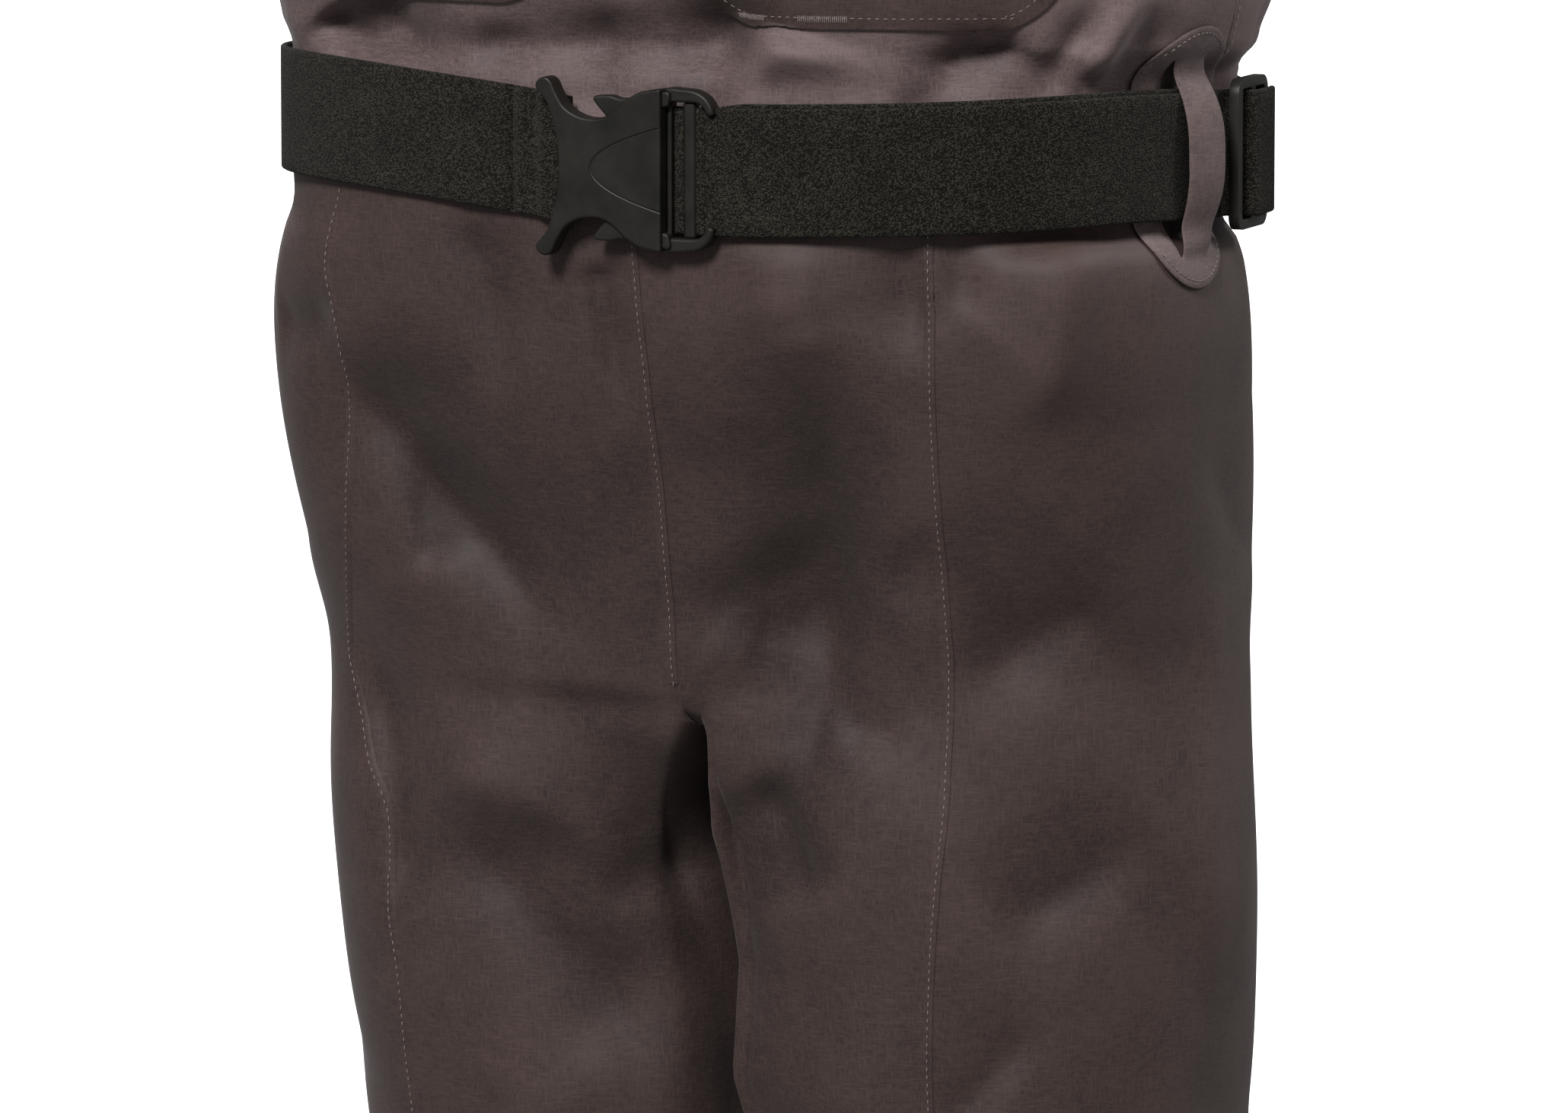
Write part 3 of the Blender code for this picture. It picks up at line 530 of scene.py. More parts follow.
def mouldedPlastic(look):
    material, tree, shader = startMaterial("mouldedPlastic")
    place = addNode(tree, "ShaderNodeTexCoord", {}).outputs["Object"]
    grain = addNode(tree, "ShaderNodeTexNoise", {"Scale": 1000 / look["grainMm"], "Detail": 2.0},
                    {"Vector": place})
    rubbed = addNode(tree, "ShaderNodeTexNoise", {"Scale": look["rubbedScale"], "Detail": 3.0},
                     {"Vector": place})
    rough = addNode(tree, "ShaderNodeMapRange", look["gloss"], {"Value": rubbed.outputs["Fac"]})
    endMaterial(tree, shader, look, rubbed.outputs["Fac"], grain.outputs["Fac"],
                {"Roughness": rough.outputs[0]})
    return material


# foamed neoprene faced with jersey on both sides: a fine ribbed knit, soft and dull
neopreneLook = {"ribMm": 1.4, "ribLong": 3, "dustScale": 22.0, "dusty": 0.5,
                "stops": ((0.5, "#1f1f20"), (1.0, "#303031")), "bump": (0.5, 0.0004),
                "shader": {"Roughness": 0.88, "Specular IOR Level": 0.25, "Sheen Weight": 0.08}}


def jerseyNeoprene(look):
    material, tree, shader = startMaterial("jerseyNeoprene")
    place = addNode(tree, "ShaderNodeTexCoord", {}).outputs["Object"]
    rib = 1000 / look["ribMm"]
    stretch = addNode(tree, "ShaderNodeMapping", {"Scale": (rib, rib, rib / look["ribLong"])},
                      {"Vector": place})
    knit = addNode(tree, "ShaderNodeTexNoise", {"Scale": 1.0, "Detail": 3.0},
                   {"Vector": stretch.outputs[0]})
    dust = addNode(tree, "ShaderNodeTexNoise", {"Scale": look["dustScale"], "Detail": 3.0},
                   {"Vector": place})
    tone = addNode(tree, "ShaderNodeMath", {"operation": "MULTIPLY_ADD", 1: look["dusty"]},
                   {0: dust.outputs["Fac"], 2: knit.outputs["Fac"]})
    endMaterial(tree, shader, look, tone.outputs[0], knit.outputs["Fac"])
    return material


# spun polyester sewing thread: a little paler than the cloth, with a twist along it
threadLook = {"twistMm": 0.6, "stops": ((0.3, "#665b58"), (0.7, "#8b807c")), "bump": (0.4, 0.0001),
              "shader": {"Roughness": 0.7}}


def sewingThread(look):
    material, tree, shader = startMaterial("sewingThread")
    place = addNode(tree, "ShaderNodeTexCoord", {}).outputs["Object"]
    twist = addNode(tree, "ShaderNodeTexNoise", {"Scale": 1000 / look["twistMm"]}, {"Vector": place})
    endMaterial(tree, shader, look, twist.outputs["Fac"], twist.outputs["Fac"])
    return material


bibNylon = laminatedNylon("bibNylon", bibLook)
legNylon = laminatedNylon("legNylon", legLook)
webbing = brushedWebbing(webbingLook)
plastic = mouldedPlastic(buckleLook)
neoprene = jerseyNeoprene(neopreneLook)
thread = sewingThread(threadLook)
print("materials made")


# legs: half of the hips and a leg each, sewn together along the rise
legAxis = {"z": (0.235, 0.31, 0.46, 0.62, 0.796), "x": (0.100, 0.096, 0.088, 0.086, 0.092),
           "y": (0.071, 0.067, 0.055, 0.037, 0.018), "hips": 0.82}
riseEdge = {"half": 0.001, "facing": 0.7}  # the cut edges that meet along the rise
outward = 0.25  # faces turned this far out are the outer side of the cloth


def outerCloth(centre, normal):
    if abs(centre.x) < riseEdge["half"] and abs(normal.x) > riseEdge["facing"]:
        return False
    if centre.z > legAxis["hips"]:
        return outerBib(centre, normal)
    side = math.copysign(np.interp(centre.z, legAxis["z"], legAxis["x"]), centre.x)
    away = Vector((centre.x - side, centre.y - np.interp(centre.z, legAxis["z"], legAxis["y"]), 0))
    return normal.dot(away.normalized()) > outward


def outerBib(centre, normal):
    return normal.dot(Vector((centre.x, centre.y, 0)).normalized()) > outward


# hips and thighs in front, drawn on the photograph's view
legFolds = (
    ("main hip pull", "both", ((-192, 89), (-166, 56), (-141, 21), (-109, -13), (-81, -43)),
     11, 24, -8.5, 0.3, 0.35),
    ("crest beside it", "both", ((-183, 59), (-161, 18), (-129, -24), (-97, -52)), 22, 12, 1.5, 0.4, 0.4),
    ("outer pleat", "both", ((-128, 136), (-120, 98), (-114, 60)), 6, 11, -4, 0, 0.6),
    ("inner pleat", "both", ((-78, 119), (-71, 86), (-66, 51)), 3.5, 8, -3, 0.1, 0.5),
    ("short tuck on the hip", "both", ((-155, 44), (-150, 19), (-144, -8)), 4, 11, -2.8, 0.6, 0.15),
    ("side crease", "both", ((-206, 93), (-192, 95), (-179, 98)), 11, 9, -4.5, 0, 0.5),
    ("valley over the rise", "both", ((22, 92), (15, 35), (17, -13), (14, -50), (6, -90), (6, -150)),
     46, 14, -11, 0.3, 0.5),
    ("shelf under the belt", "both", ((-12, 88), (3, 87), (21, 89)), 6, 24, 2, 0.3, 0.3),
    ("shelf side", "both", ((-12, 124), (-8, 101), (-4, 87)), 6, 22, 2, 0, 0.4),
    ("tuck left of the seam", "both", ((49, 124), (52, 98), (58, 71)), 10, 4, -3.5, 0, 0.6),
    ("tuck right of the seam", "both", ((70, 124), (72, 105), (69, 86)), 7, 9, -3.2, 0, 0.6),
    ("fan edge", "both", ((118, 124), (115, 98), (106, 70), (83, 52)), 30, 9, 4.5, 0, 0.4),
    ("thigh pull, upper", "left", ((135, -20), (116, -29), (95, -39), (67, -58)), 32, 13, -5.5, 0.25, 0.45),
    ("thigh pull, lower", "left", ((78, -155), (108, -140), (133, -125), (155, -110)),
     12, 32, -5, 0.35, 0.4),
    ("sliver by the seam", "left", ((54, 14), (48, -10), (43, -32)), 5, 8, -2.2, 0.5, 0.5),
    ("tuck over the thigh", "left", ((16, -75), (33, -71), (55, -76)), 6, 12, -3, 0.4, 0.5),
    ("inner thigh hollow", "left", ((-16, -87), (-5, -111), (10, -144)), 16, 7, -6, 0.3, 0.2),
    ("crotch bump", "both", ((-36, -36), (-24, -42), (-11, -45)), 8, 10, 1.8, 0.3, 0.4),
    ("shade under the crotch", "right", ((-30, -56), (-33, -84), (-35, -115), (-34, -150)),
     40, 20, -10, 0.12, 0.4),
    ("inner edge", "left", ((-31, -72), (-29, -110), (-24, -150), (-16, -195), (-12, -228)),
     10, 24, -4, 0.3, 0),
    ("hollow over the crotch", "left", ((-8, 10), (4, -24), (14, -60)), 26, 14, -5, 0.4, 0.45),
    ("between the legs", "right", ((-44, -112), (-30, -152), (-18, -194), (-14, -228)), 20, 12, -7, 0.2, 0),
    ("lifted fold", "right", ((-146, -87), (-123, -93), (-91, -108), (-58, -134)), 9, 16, 3.5, 0.25, 0.3),
    ("wedge under it", "right", ((-147, -96), (-120, -127), (-88, -162), (-44, -216)),
     16, 26, -6.5, 0.35, 0.3),
    ("shade by the outer seam", "right", ((-169, -22), (-162, -76), (-154, -152)), 4, 13, -4.5, 0.35, 0.25),
    ("side ripple", "left", ((176, 6), (172, -54), (171, -117), (174, -194)), 5, 6, 3.2, 0.3, 0.3),
    ("side ripple, back", "left", ((187, 3), (184, -60), (183, -124), (186, -187)), 6, 6, 2.6, 0.3, 0.3),
    ("low crease", "left", ((74, -225), (90, -205), (109, -187)), 5, 11, -3, 0, 0.5),
    ("low swell", "right", ((-95, -225), (-76, -210), (-54, -203)), 10, 14, 1.5, 0, 0.5),
)
# knees and ankles in front, in millimetres across from the middle and up from the floor
kneeFolds = (
    ("left knee, upper", "left", ((30, 505), (80, 488), (150, 512)), 12, 22, -5, 0.25, 0.3),
    ("left knee, lower", "left", ((45, 452), (100, 440), (170, 466)), 9, 18, -4.5, 0.3, 0.25),
    ("left shin", "left", ((55, 395), (95, 372), (140, 380)), 9, 20, -4, 0.3, 0.35),
    ("left ankle, upper", "left", ((40, 322), (95, 308), (160, 326)), 7, 14, -5, 0.2, 0.2),
    ("left ankle, lower", "left", ((48, 284), (98, 272), (158, 288)), 6, 10, -4.5, 0.2, 0.2),
    ("right knee, upper", "right", ((-26, 498), (-85, 492), (-155, 470)), 20, 12, -5, 0.25, 0.3),
    ("right knee, lower", "right", ((-40, 438), (-95, 445), (-160, 425)), 18, 9, -4.5, 0.3, 0.25),
    ("right shin", "right", ((-50, 372), (-95, 392), (-150, 384)), 20, 9, -4, 0.3, 0.35),
    ("right ankle, upper", "right", ((-40, 316), (-95, 322), (-158, 308)), 14, 7, -5, 0.2, 0.2),
    ("right ankle, lower", "right", ((-44, 278), (-96, 284), (-156, 272)), 10, 6, -4.5, 0.2, 0.2),
)
# the seat and the backs of the knees, seen from behind: across runs to the wearer's right
seatFolds = (
    ("seat, left", "both", ((-12, 805), (-60, 782), (-130, 800)), 12, 24, -7, 0.15, 0.35),
    ("seat, right", "both", ((14, 802), (70, 778), (140, 806)), 24, 12, -7, 0.15, 0.35),
    ("under the seat, left", "left", ((-30, 735), (-90, 715), (-165, 745)), 10, 20, -5, 0.25, 0.4),
    ("under the seat, right", "right", ((28, 728), (80, 712), (160, 735)), 20, 10, -5, 0.25, 0.4),
    ("pleat, left", "both", ((-70, 972), (-78, 930), (-92, 880)), 9, 12, -4, 0, 0.6),
    ("pleat, middle", "both", ((18, 970), (14, 925), (24, 870)), 12, 8, -4.5, 0, 0.6),
    ("pleat, right", "both", ((96, 972), (104, 935), (100, 890)), 9, 12, -4, 0, 0.6),
    ("left knee, high", "left", ((-25, 545), (-90, 520), (-160, 548)), 10, 16, -6, 0.2, 0.25),
    ("left knee, low", "left", ((-30, 492), (-95, 478), (-165, 500)), 9, 14, -6, 0.2, 0.25),
    ("right knee, high", "right", ((22, 530), (80, 515), (150, 536)), 16, 10, -6, 0.2, 0.25),
    ("right knee, low", "right", ((30, 478), (95, 470), (160, 490)), 14, 9, -6, 0.2, 0.25),
    ("left calf", "left", ((-45, 410), (-95, 385), (-150, 402)), 9, 18, -4, 0.3, 0.3),
    ("right calf", "right", ((45, 400), (95, 382), (150, 396)), 18, 9, -4, 0.3, 0.3),
    ("left heel", "left", ((-42, 318), (-98, 300), (-158, 316)), 7, 13, -5, 0.2, 0.2),
    ("right heel", "right", ((42, 312), (98, 300), (158, 318)), 13, 7, -5, 0.2, 0.2),
    ("left heel, low", "left", ((-46, 276), (-98, 266), (-154, 280)), 6, 9, -4, 0.2, 0.2),
    ("right heel, low", "right", ((46, 280), (98, 266), (154, 276)), 9, 6, -4, 0.2, 0.2),
)
# sides: across runs backwards on the wearer's left and forwards on the right
sideFolds = (
    ("hip pull", "both", ((-30, 900), (20, 850), (80, 830)), 12, 24, -2.5, 0.3, 0.35),
    ("thigh pull", "both", ((-10, 640), (40, 600), (100, 610)), 14, 26, -2.5, 0.3, 0.35),
    ("knee", "both", ((-40, 500), (40, 478), (120, 502)), 10, 18, -5, 0.25, 0.25),
    ("shin", "both", ((-20, 400), (60, 380), (130, 396)), 10, 18, -4, 0.3, 0.3),
    ("ankle", "both", ((0, 312), (65, 300), (130, 314)), 7, 12, -4.5, 0.2, 0.2),
)

# swell and gather are depth, length and seed; folds are how much deeper and wider they are pressed
legForm = {"swell": (1.1, 0.16, 0.8), "gather": (3.2, 0.055, 0.4), "folds": (1.9, 1.15)}
legEase = {"height": (235, 400, 600, 760, 830, 900, 955, 975),
           "right": (0, 1.0, 3.0, 2.5, 4.0, 3.5, 4.0, 3.0), "left": (0, 0.5, 0.8, 1.0, 1.0, 2.5, 7.5, 6.0)}
crotchSlack = {"at": (0.0, -0.080, 0.800), "reach": (0.060, 0.070, 0.060), "drop": 0.013}
innerSwell = {"height": (480, 580, 622, 640, 670, 700, 726, 748, 768, 785, 800),
              "push": (0, 5, 10, 7, 3, 5, 6, 2, -4, -6, 0), "way": (-0.72, -0.69, 0.0), "soft": 0.7,
              "forward": 0.4}

legs = copyNodes("legs", "leg_left", "leg_right", keep=outerCloth)
addModifier(legs, "SUBSURF", levels=3, render_levels=3)
softenForm(legs, *legForm["swell"])
gatherWaist(legs, *legForm["gather"])
easeSides(legs, legEase)
dropCrotch(legs, crotchSlack)
swellInside(legs, innerSwell)
pressFolds(legs, legFolds, photoView, *legForm["folds"])
pressFolds(legs, kneeFolds, frontView)
pressFolds(legs, seatFolds, backView)
pressFolds(legs, sideFolds, leftView)
pressFolds(legs, sideFolds, rightView)
legTree = surfaceTree(legs)
print("legs shaped,", len(legs.data.polygons), "faces")


# bib: a tube of the paler cloth that swells over the belt
bibFolds = (
    ("sharp tuck at the side", "both", ((-189, 221), (-178, 209), (-162, 195)), 5, 9, -4.5, 0.2, 0),
    ("broad tuck at the side", "both", ((-169, 232), (-159, 212), (-146, 195)), 9, 13, -5, 0.3, 0),
    ("hollow by the buckle", "both", ((-22, 235), (-27, 212), (-30, 182)), 20, 14, -6, 0.5, 0),
    ("edge beside it", "both", ((0, 216), (-5, 200), (-13, 181)), 7, 28, 4, 0.3, 0),
    ("pull under the pocket", "both", ((99, 210), (76, 196), (52, 181)), 6, 11, -5, 0.25, 0),
    ("second pull", "both", ((82, 211), (71, 202), (60, 191)), 5, 6, -2.5, 0.3, 0.3),
    ("lit streak", "both", ((147, 235), (132, 209), (117, 185)), 9, 9, 5, 0.5, 0),
    ("dark by the streak, left", "both", ((135, 232), (119, 206), (105, 186)), 7, 9, -4.5, 0.5, 0),
    ("dark by the streak, right", "both", ((156, 228), (143, 206), (129, 185)), 7, 9, -4, 0.5, 0),
    ("drawn in over the buckle", "both", ((-132, 190), (-84, 188), (-36, 184), (-12, 181)),
     10, 30, -4.5, 0.25, 0.2),
    ("drawn in by the loop", "both", ((44, 181), (80, 184), (116, 188)), 10, 24, -2.5, 0.3, 0.3),
    ("gather left of the buckle", "both", ((-114, 219), (-117, 203), (-121, 187)), 10, 10, -2.5, 0.5, 0),
    ("gather over the buckle", "both", ((-73, 225), (-75, 206), (-77, 189)), 12, 10, -2.5, 0.5, 0),
)
bibBackFolds = (
    ("left sag", "both", ((-150, 1120), (-80, 1085), (-10, 1075)), 12, 26, -6, 0.3, 0.35),
    ("right sag", "both", ((150, 1140), (90, 1098), (20, 1085)), 26, 12, -6, 0.3, 0.35),
    ("left pull", "both", ((-120, 1230), (-100, 1170), (-60, 1120)), 12, 18, -4, 0.4, 0.4),
    ("right pull", "both", ((110, 1250), (104, 1190), (70, 1130)), 18, 12, -4, 0.4, 0.4),
    ("pleat", "both", ((-40, 1090), (-46, 1060), (-44, 1035)), 8, 10, -4, 0.5, 0),
    ("pleat, far", "both", ((60, 1095), (66, 1062), (62, 1035)), 10, 8, -4, 0.5, 0),
)
bibSideFolds = (
    ("side sag", "both", ((-70, 1120), (0, 1090), (70, 1105)), 12, 24, -5, 0.3, 0.3),
    ("side pull", "both", ((-40, 1230), (-10, 1180), (0, 1130)), 12, 18, -3.5, 0.4, 0.4),
)

bibForm = {"swell": (1.3, 0.17, 2.1), "gather": (3.6, 0.045, 1.9), "folds": (2.8, 1.0)}
bibEase = {"height": (1000, 1027, 1036, 1050, 1070, 1100), "right": (0, 0, 1.5, 3.5, 1.0, 0),
           "left": (0, 0, 8.0, 9.0, 5.0, 0)}
sidePuff = {"height": (975, 1000, 1020, 1034, 1045, 1070), "push": (0, 4.5, 6.0, 7.5, 3.0, 0),
            "turns": (85, 122), "fades": (9, 14)}

bibShell = copyNodes("bibShell", "bib", keep=outerBib)
addModifier(bibShell, "SUBSURF", levels=3, render_levels=3)
softenForm(bibShell, *bibForm["swell"])
gatherWaist(bibShell, *bibForm["gather"])
easeSides(bibShell, bibEase)
puffSide(bibShell, sidePuff)
pressFolds(bibShell, bibFolds, photoView, *bibForm["folds"])
pressFolds(bibShell, bibBackFolds, backView)
pressFolds(bibShell, bibSideFolds, leftView)
pressFolds(bibShell, bibSideFolds, rightView)
bibTree = surfaceTree(bibShell)
waistTree = surfaceTree(legs, bibShell)
print("bib shaped,", len(bibShell.data.polygons), "faces")


# seams: a lapped edge with one row of stitches, drawn in millimetres across and up the front
seamLook = {"step": 3.4, "stitch": 2.0, "thread": 0.5, "rowAt": 2.1, "rowLift": 0.6}
lapProfile = ((-0.15, -0.3), (0.0, 0.45), (0.7, 0.55), (3.2, 0.42), (5.0, 0.05), (5.4, -0.3))
frontSeams = {
    "seamOuterRight": (-1, ((-137, 984), (-145, 955), (-141, 927), (-144, 881), (-152, 834), (-162, 792),
                            (-155, 761), (-150, 743), (-142, 724), (-142, 688), (-139, 655), (-139, 598),
                            (-135, 540), (-130, 470), (-125, 400), (-119, 330), (-112, 270), (-108, 240))),
    "seamRise": (1, ((5, 972), (5, 942), (5, 917), (4, 878), (2, 845), (1, 822), (0, 800), (0, 789))),
    "seamOuterLeft": (1, ((124, 976), (124, 936), (122, 896), (119, 851), (117, 818), (116, 786), (115, 764),
                          (114, 739), (110, 707), (106, 675), (101, 619), (100, 560), (100, 480), (101, 400),
                          (103, 330), (104, 270), (104, 240))),
}
backSeams = {"seamSeat": (1, ((0, 972), (0, 930), (1, 880), (0, 845), (0, 826)))}


def sewSeam(name, tree, path, view, way, cloth, slot):
    stations = castLine(tree, path, view, seamLook["step"])
    lap = layStrip(name, tree, stations, [(-way * side, lift) for side, lift in lapProfile])
    row = sewStitches(name + "Stitches", stations, -way * seamLook["rowAt"], seamLook["stitch"],
                      seamLook["thread"], seamLook["rowLift"])
    finishPiece(lap, cloth, slot)
    finishPiece(row, thread, slot)


for seams, view in ((frontSeams, frontView), (backSeams, backView)):
    for name, (way, path) in seams.items():
        sewSeam(name, legTree, path, view, way, legNylon, "leg_cloth")
bibSide = ((1032, -6), (1100, -8), (1180, -7), (1283, -5))  # height, and place from front to back
sewSeam("seamBibLeft", bibTree, [(back, up) for up, back in bibSide], leftView, 1, bibNylon, "bib_cloth")
sewSeam("seamBibRight", bibTree, [(-back, up) for up, back in bibSide], rightView, -1, bibNylon,
        "bib_cloth")


# bands that close an edge: the bib's hem, and the tape over each leg's seam with its sock
bandProfile = ((-1.0, -0.2), (-0.98, 0.55), (-0.5, 0.7), (0.5, 0.7), (0.98, 0.55), (1.0, -0.2))
bandRowLift = 0.75
hemBand = {"half": 10.0, "rows": (-7.0, 7.0), "below": 0.0105, "count": 320, "reach": 0.4}
ankleBand = {"half": 9.0, "rows": (-6.0, 6.0), "height": 0.246, "count": 110, "reach": 0.085,
             "x": 0.100, "y": 0.071}


def hemHeight(turn):
    front, side, back = 1.335, 1.290, 1.305
    lean = math.cos(turn)
    return side + ((front if lean > 0 else back) - side) * lean * lean


def sewBand(name, tree, middle, heights, band, cloth, slot):
    stations = []
    for i, height in enumerate(heights):
        turn = 2 * math.pi * i / len(heights)
        way = Vector((math.sin(turn), -math.cos(turn), 0))
        start = Vector((*middle, height)) + way * band["reach"]
        hit, normal, face, far = tree.ray_cast(start, -way)
        stations.append((hit, normal))
    stations = frameLine(stations, True)
    profile = [(band["half"] * side, lift) for side, lift in bandProfile]
    strip = layStrip(name, tree, stations, profile, True)
    finishPiece(strip, cloth, slot)
    for i, offset in enumerate(band["rows"]):
        row = sewStitches(f"{name}Stitches{i + 1}", stations, offset, seamLook["stitch"],
                          seamLook["thread"], bandRowLift)
        finishPiece(row, thread, slot)


count = hemBand["count"]
hem = [hemHeight(2 * math.pi * i / count) - hemBand["below"] for i in range(count)]
sewBand("bibHem", bibTree, (0.0, 0.0), hem, hemBand, bibNylon, "bib_cloth")
for sideName, side in (("Left", 1), ("Right", -1)):
    sewBand("ankleTape" + sideName, legTree, (side * ankleBand["x"], ankleBand["y"]),
            [ankleBand["height"]] * ankleBand["count"], ankleBand, legNylon, "leg_cloth")
print("seams and bands sewn")


# the legs are parted along the rise, and all the cloth gets its thickness
clothWall = 0.0012


def giveWall(piece):
    addModifier(piece, "SOLIDIFY", thickness=clothWall, offset=-1.0, use_even_offset=False)
    shadeSmooth(piece, 60)


for sideName, side in (("left", 1), ("right", -1)):
    leg = newObject("leg" + sideName.title(), legs.data.copy())
    keepFaces(leg, lambda centre, normal: centre.x * side > 0)
    giveWall(leg)
    finishPiece(leg, legNylon, "leg_cloth", "leg_" + sideName)
bpy.data.objects.remove(legs)
giveWall(bibShell)
finishPiece(bibShell, bibNylon, "bib_cloth", "bib")


# belt: webbing swept along the CAD's own line, one length round the waist and one doubled back
strapLook = {"half": 25.0, "step": 0.0012, "rows": 12, "face": 1.1, "height": 1.001,
             "corner": ((0.4, -0.25), (0.0, -0.9), (0.0, -1.9), (0.6, -2.6)),
             "sewnAt": -48.5, "sewnWide": 1.5, "sewn": 1.7, "swellAt": (-38, -27), "swellFade": 4,
             "swell": 1.8, "peep": 1.7, "peepAt": (15, 90), "peepFades": (6, 8),
             "drawnIn": 0.0034, "drawnAt": (58, 93), "drawnFades": (14, 5),
             "tuck": 0.0005, "underBar": ((-0.004, 0.0010), (-0.0112, 0.0022)),
             "overSlider": ((209.4, 16.0), (209.2, 21.5), (208.7, 26.5), (207.6, 30.0))}


def strapLine(node):
    plain = copyNodes("plain", node)
    rings = {}
    for face in plain.data.polygons:
        away = Vector((face.center.x, face.center.y, 0)).normalized()
        if face.normal.dot(away) > 0.3:
            for edge in face.edge_keys:
                a, b = (plain.data.vertices[i].co for i in edge)
                if abs(a.z - b.z) > 0.02:
                    rings[edge] = (a + b) / 2
    bpy.data.objects.remove(plain)
    turned = sorted((math.atan2(p.x, -p.y) % (2 * math.pi), tuple(p)) for p in rings.values())
    return [place for turn, place in turned]


def strapProfile():
    half, flat = strapLook["half"], strapLook["half"] - strapLook["face"]
    front = [(up, 0.0) for up in np.linspace(-flat, flat, strapLook["rows"])]
    corner = [(half - inset, out) for inset, out in strapLook["corner"]]
    return front + corner + [(-up, out) for up, out in reversed(corner)]


def between(value, ends, fades):
    return float(smooth((value - ends[0]) / fades[0]) * smooth((ends[1] - value) / fades[1]))


# peep is how far a strap is raised to show over the one that lies on it
def sweepStrap(name, path, peep=0.0):
    line = drawLine(path, strapLook["step"])
    profile = strapProfile()
    points = []
    for i, place in enumerate(line):
        along = line[min(i + 1, len(line) - 1)] - line[max(i - 1, 0)]
        out = np.array((along[1], -along[0], 0.0))
        out /= np.linalg.norm(out)
        turn = math.degrees(math.atan2(place[0], -place[1])) % 360
        x = 1000 * place[0]
        push = 0.0
        if place[1] < 0 and x < 0:  # the row that sews the end down, and the swell beside it
            off = (x - strapLook["sewnAt"]) / strapLook["sewnWide"]
            push = -strapLook["sewn"] * math.exp(-(off**2))
            first, last = strapLook["swellAt"]
            fade = strapLook["swellFade"]
            push += strapLook["swell"] * between(x, (first, last + fade), (fade, fade))
        rise = peep * between(turn, strapLook["peepAt"], strapLook["peepFades"])
        drawn = between(turn, strapLook["drawnAt"], strapLook["drawnFades"])
        place = place - out * strapLook["drawnIn"] * drawn
        for up, lift in profile:
            face = push if lift > -0.3 else 0.0
            points.append(place + out * (lift + face) / 1000 + np.array((0, 0, (up + rise) / 1000)))
    wide = len(profile)
    faces = []
    for i in range(len(line) - 1):
        for j in range(wide):
            a, b = i * wide + j, i * wide + (j + 1) % wide
            faces.append((a, a + wide, b + wide, b))
    last = (len(line) - 1) * wide
    faces += [tuple(range(wide)), tuple(reversed(range(last, last + wide)))]
    piece = meshPiece(name, points, faces)
    editMesh(piece, normalsOut)
    shadeSmooth(piece, 60)
    return piece


beltPath = strapLine("belt")
beltPath.append(tuple(np.array(beltPath[-1]) + (strapLook["tuck"], 0, 0)))  # under the housing
beltStrap = sweepStrap("beltStrap", beltPath, strapLook["peep"])
finishPiece(beltStrap, webbing, "webbing", "belt")
returnPath = strapLine("belt_return")[:-2]
returnStart = np.array(returnPath[0])  # the strap goes on behind the bar
for along, deep in strapLook["underBar"]:
    returnPath.insert(0, tuple(returnStart + (along, deep, 0)))
for x, y in strapLook["overSlider"]:  # its end lies over the slider's far bar
    returnPath.append((x / 1000, y / 1000, strapLook["height"]))
beltReturn = sweepStrap("beltReturn", returnPath)
finishPiece(beltReturn, webbing, "webbing", "belt_return")
print("belt swept,", len(beltStrap.data.polygons), len(beltReturn.data.polygons), "faces")


# buckle: plates drawn as outlines in millimetres along the belt and up from its middle, edges moulded round
buckle = {"x": 0.0030, "y": -0.1371, "z": 1.0, "step": 1.3, "room": 1.05, "sliderEdge": 0.0011}
groove = {"radius": 0.0006, "from": 0.0190, "out": 0.0125, "reach": 0.0315, "half": 0.017, "past": 1.02,
          "count": 41}
plateDepths = {"housing": (3.4, 12.4, 1.5), "room": (4.2, 10.6), "prong": (4.6, 10.2, 1.2),
               "arm": (0.8, 8.4, 2.2), "post": (0.8, 6.4, 0.5), "bar": (0.8, 6.6, 1.6)}  # back, face, edge
housingLine = ((-26.5, 0), (-26.8, 7), (-28.2, 15), (-31.0, 24), (-34.6, 29), (-36.4, 31), (-35.6, 33.6),
               (-32.6, 35.2), (-29.6, 33.8), (-27.2, 29.0), (-23.6, 23.6), (-18, 20.4), (-12, 19.4),
               (-7, 20.2), (-2.5, 22.8), (3, 27.4), (9, 30.6), (17.6, 32.0))
prongLine = ((20.0, 25.0), (20.0, 30.8), (10, 29.0), (0, 27.6), (-4.5, 28.6), (-9.4, 28.5), (-12.7, 27.5),
             (-8.8, 22.4), (-4.0, 19.0), (4.0, 20.0), (12.0, 23.0))
armLine = ((17.9, 26.6), (17.9, 31.9), (25, 32.0), (30.5, 31.4), (34.6, 29.4), (37.4, 26.2), (38.4, 22.4),
           (35.8, 21.8), (34.4, 24.2), (32.4, 25.9), (30.0, 26.6))
postLine = ((17.9, -27.0), (19.8, -27.0), (19.8, 27.0), (17.9, 27.0))
barLine = ((24.6, -27.0), (30.0, -27.0), (30.0, 27.0), (24.6, 27.0))


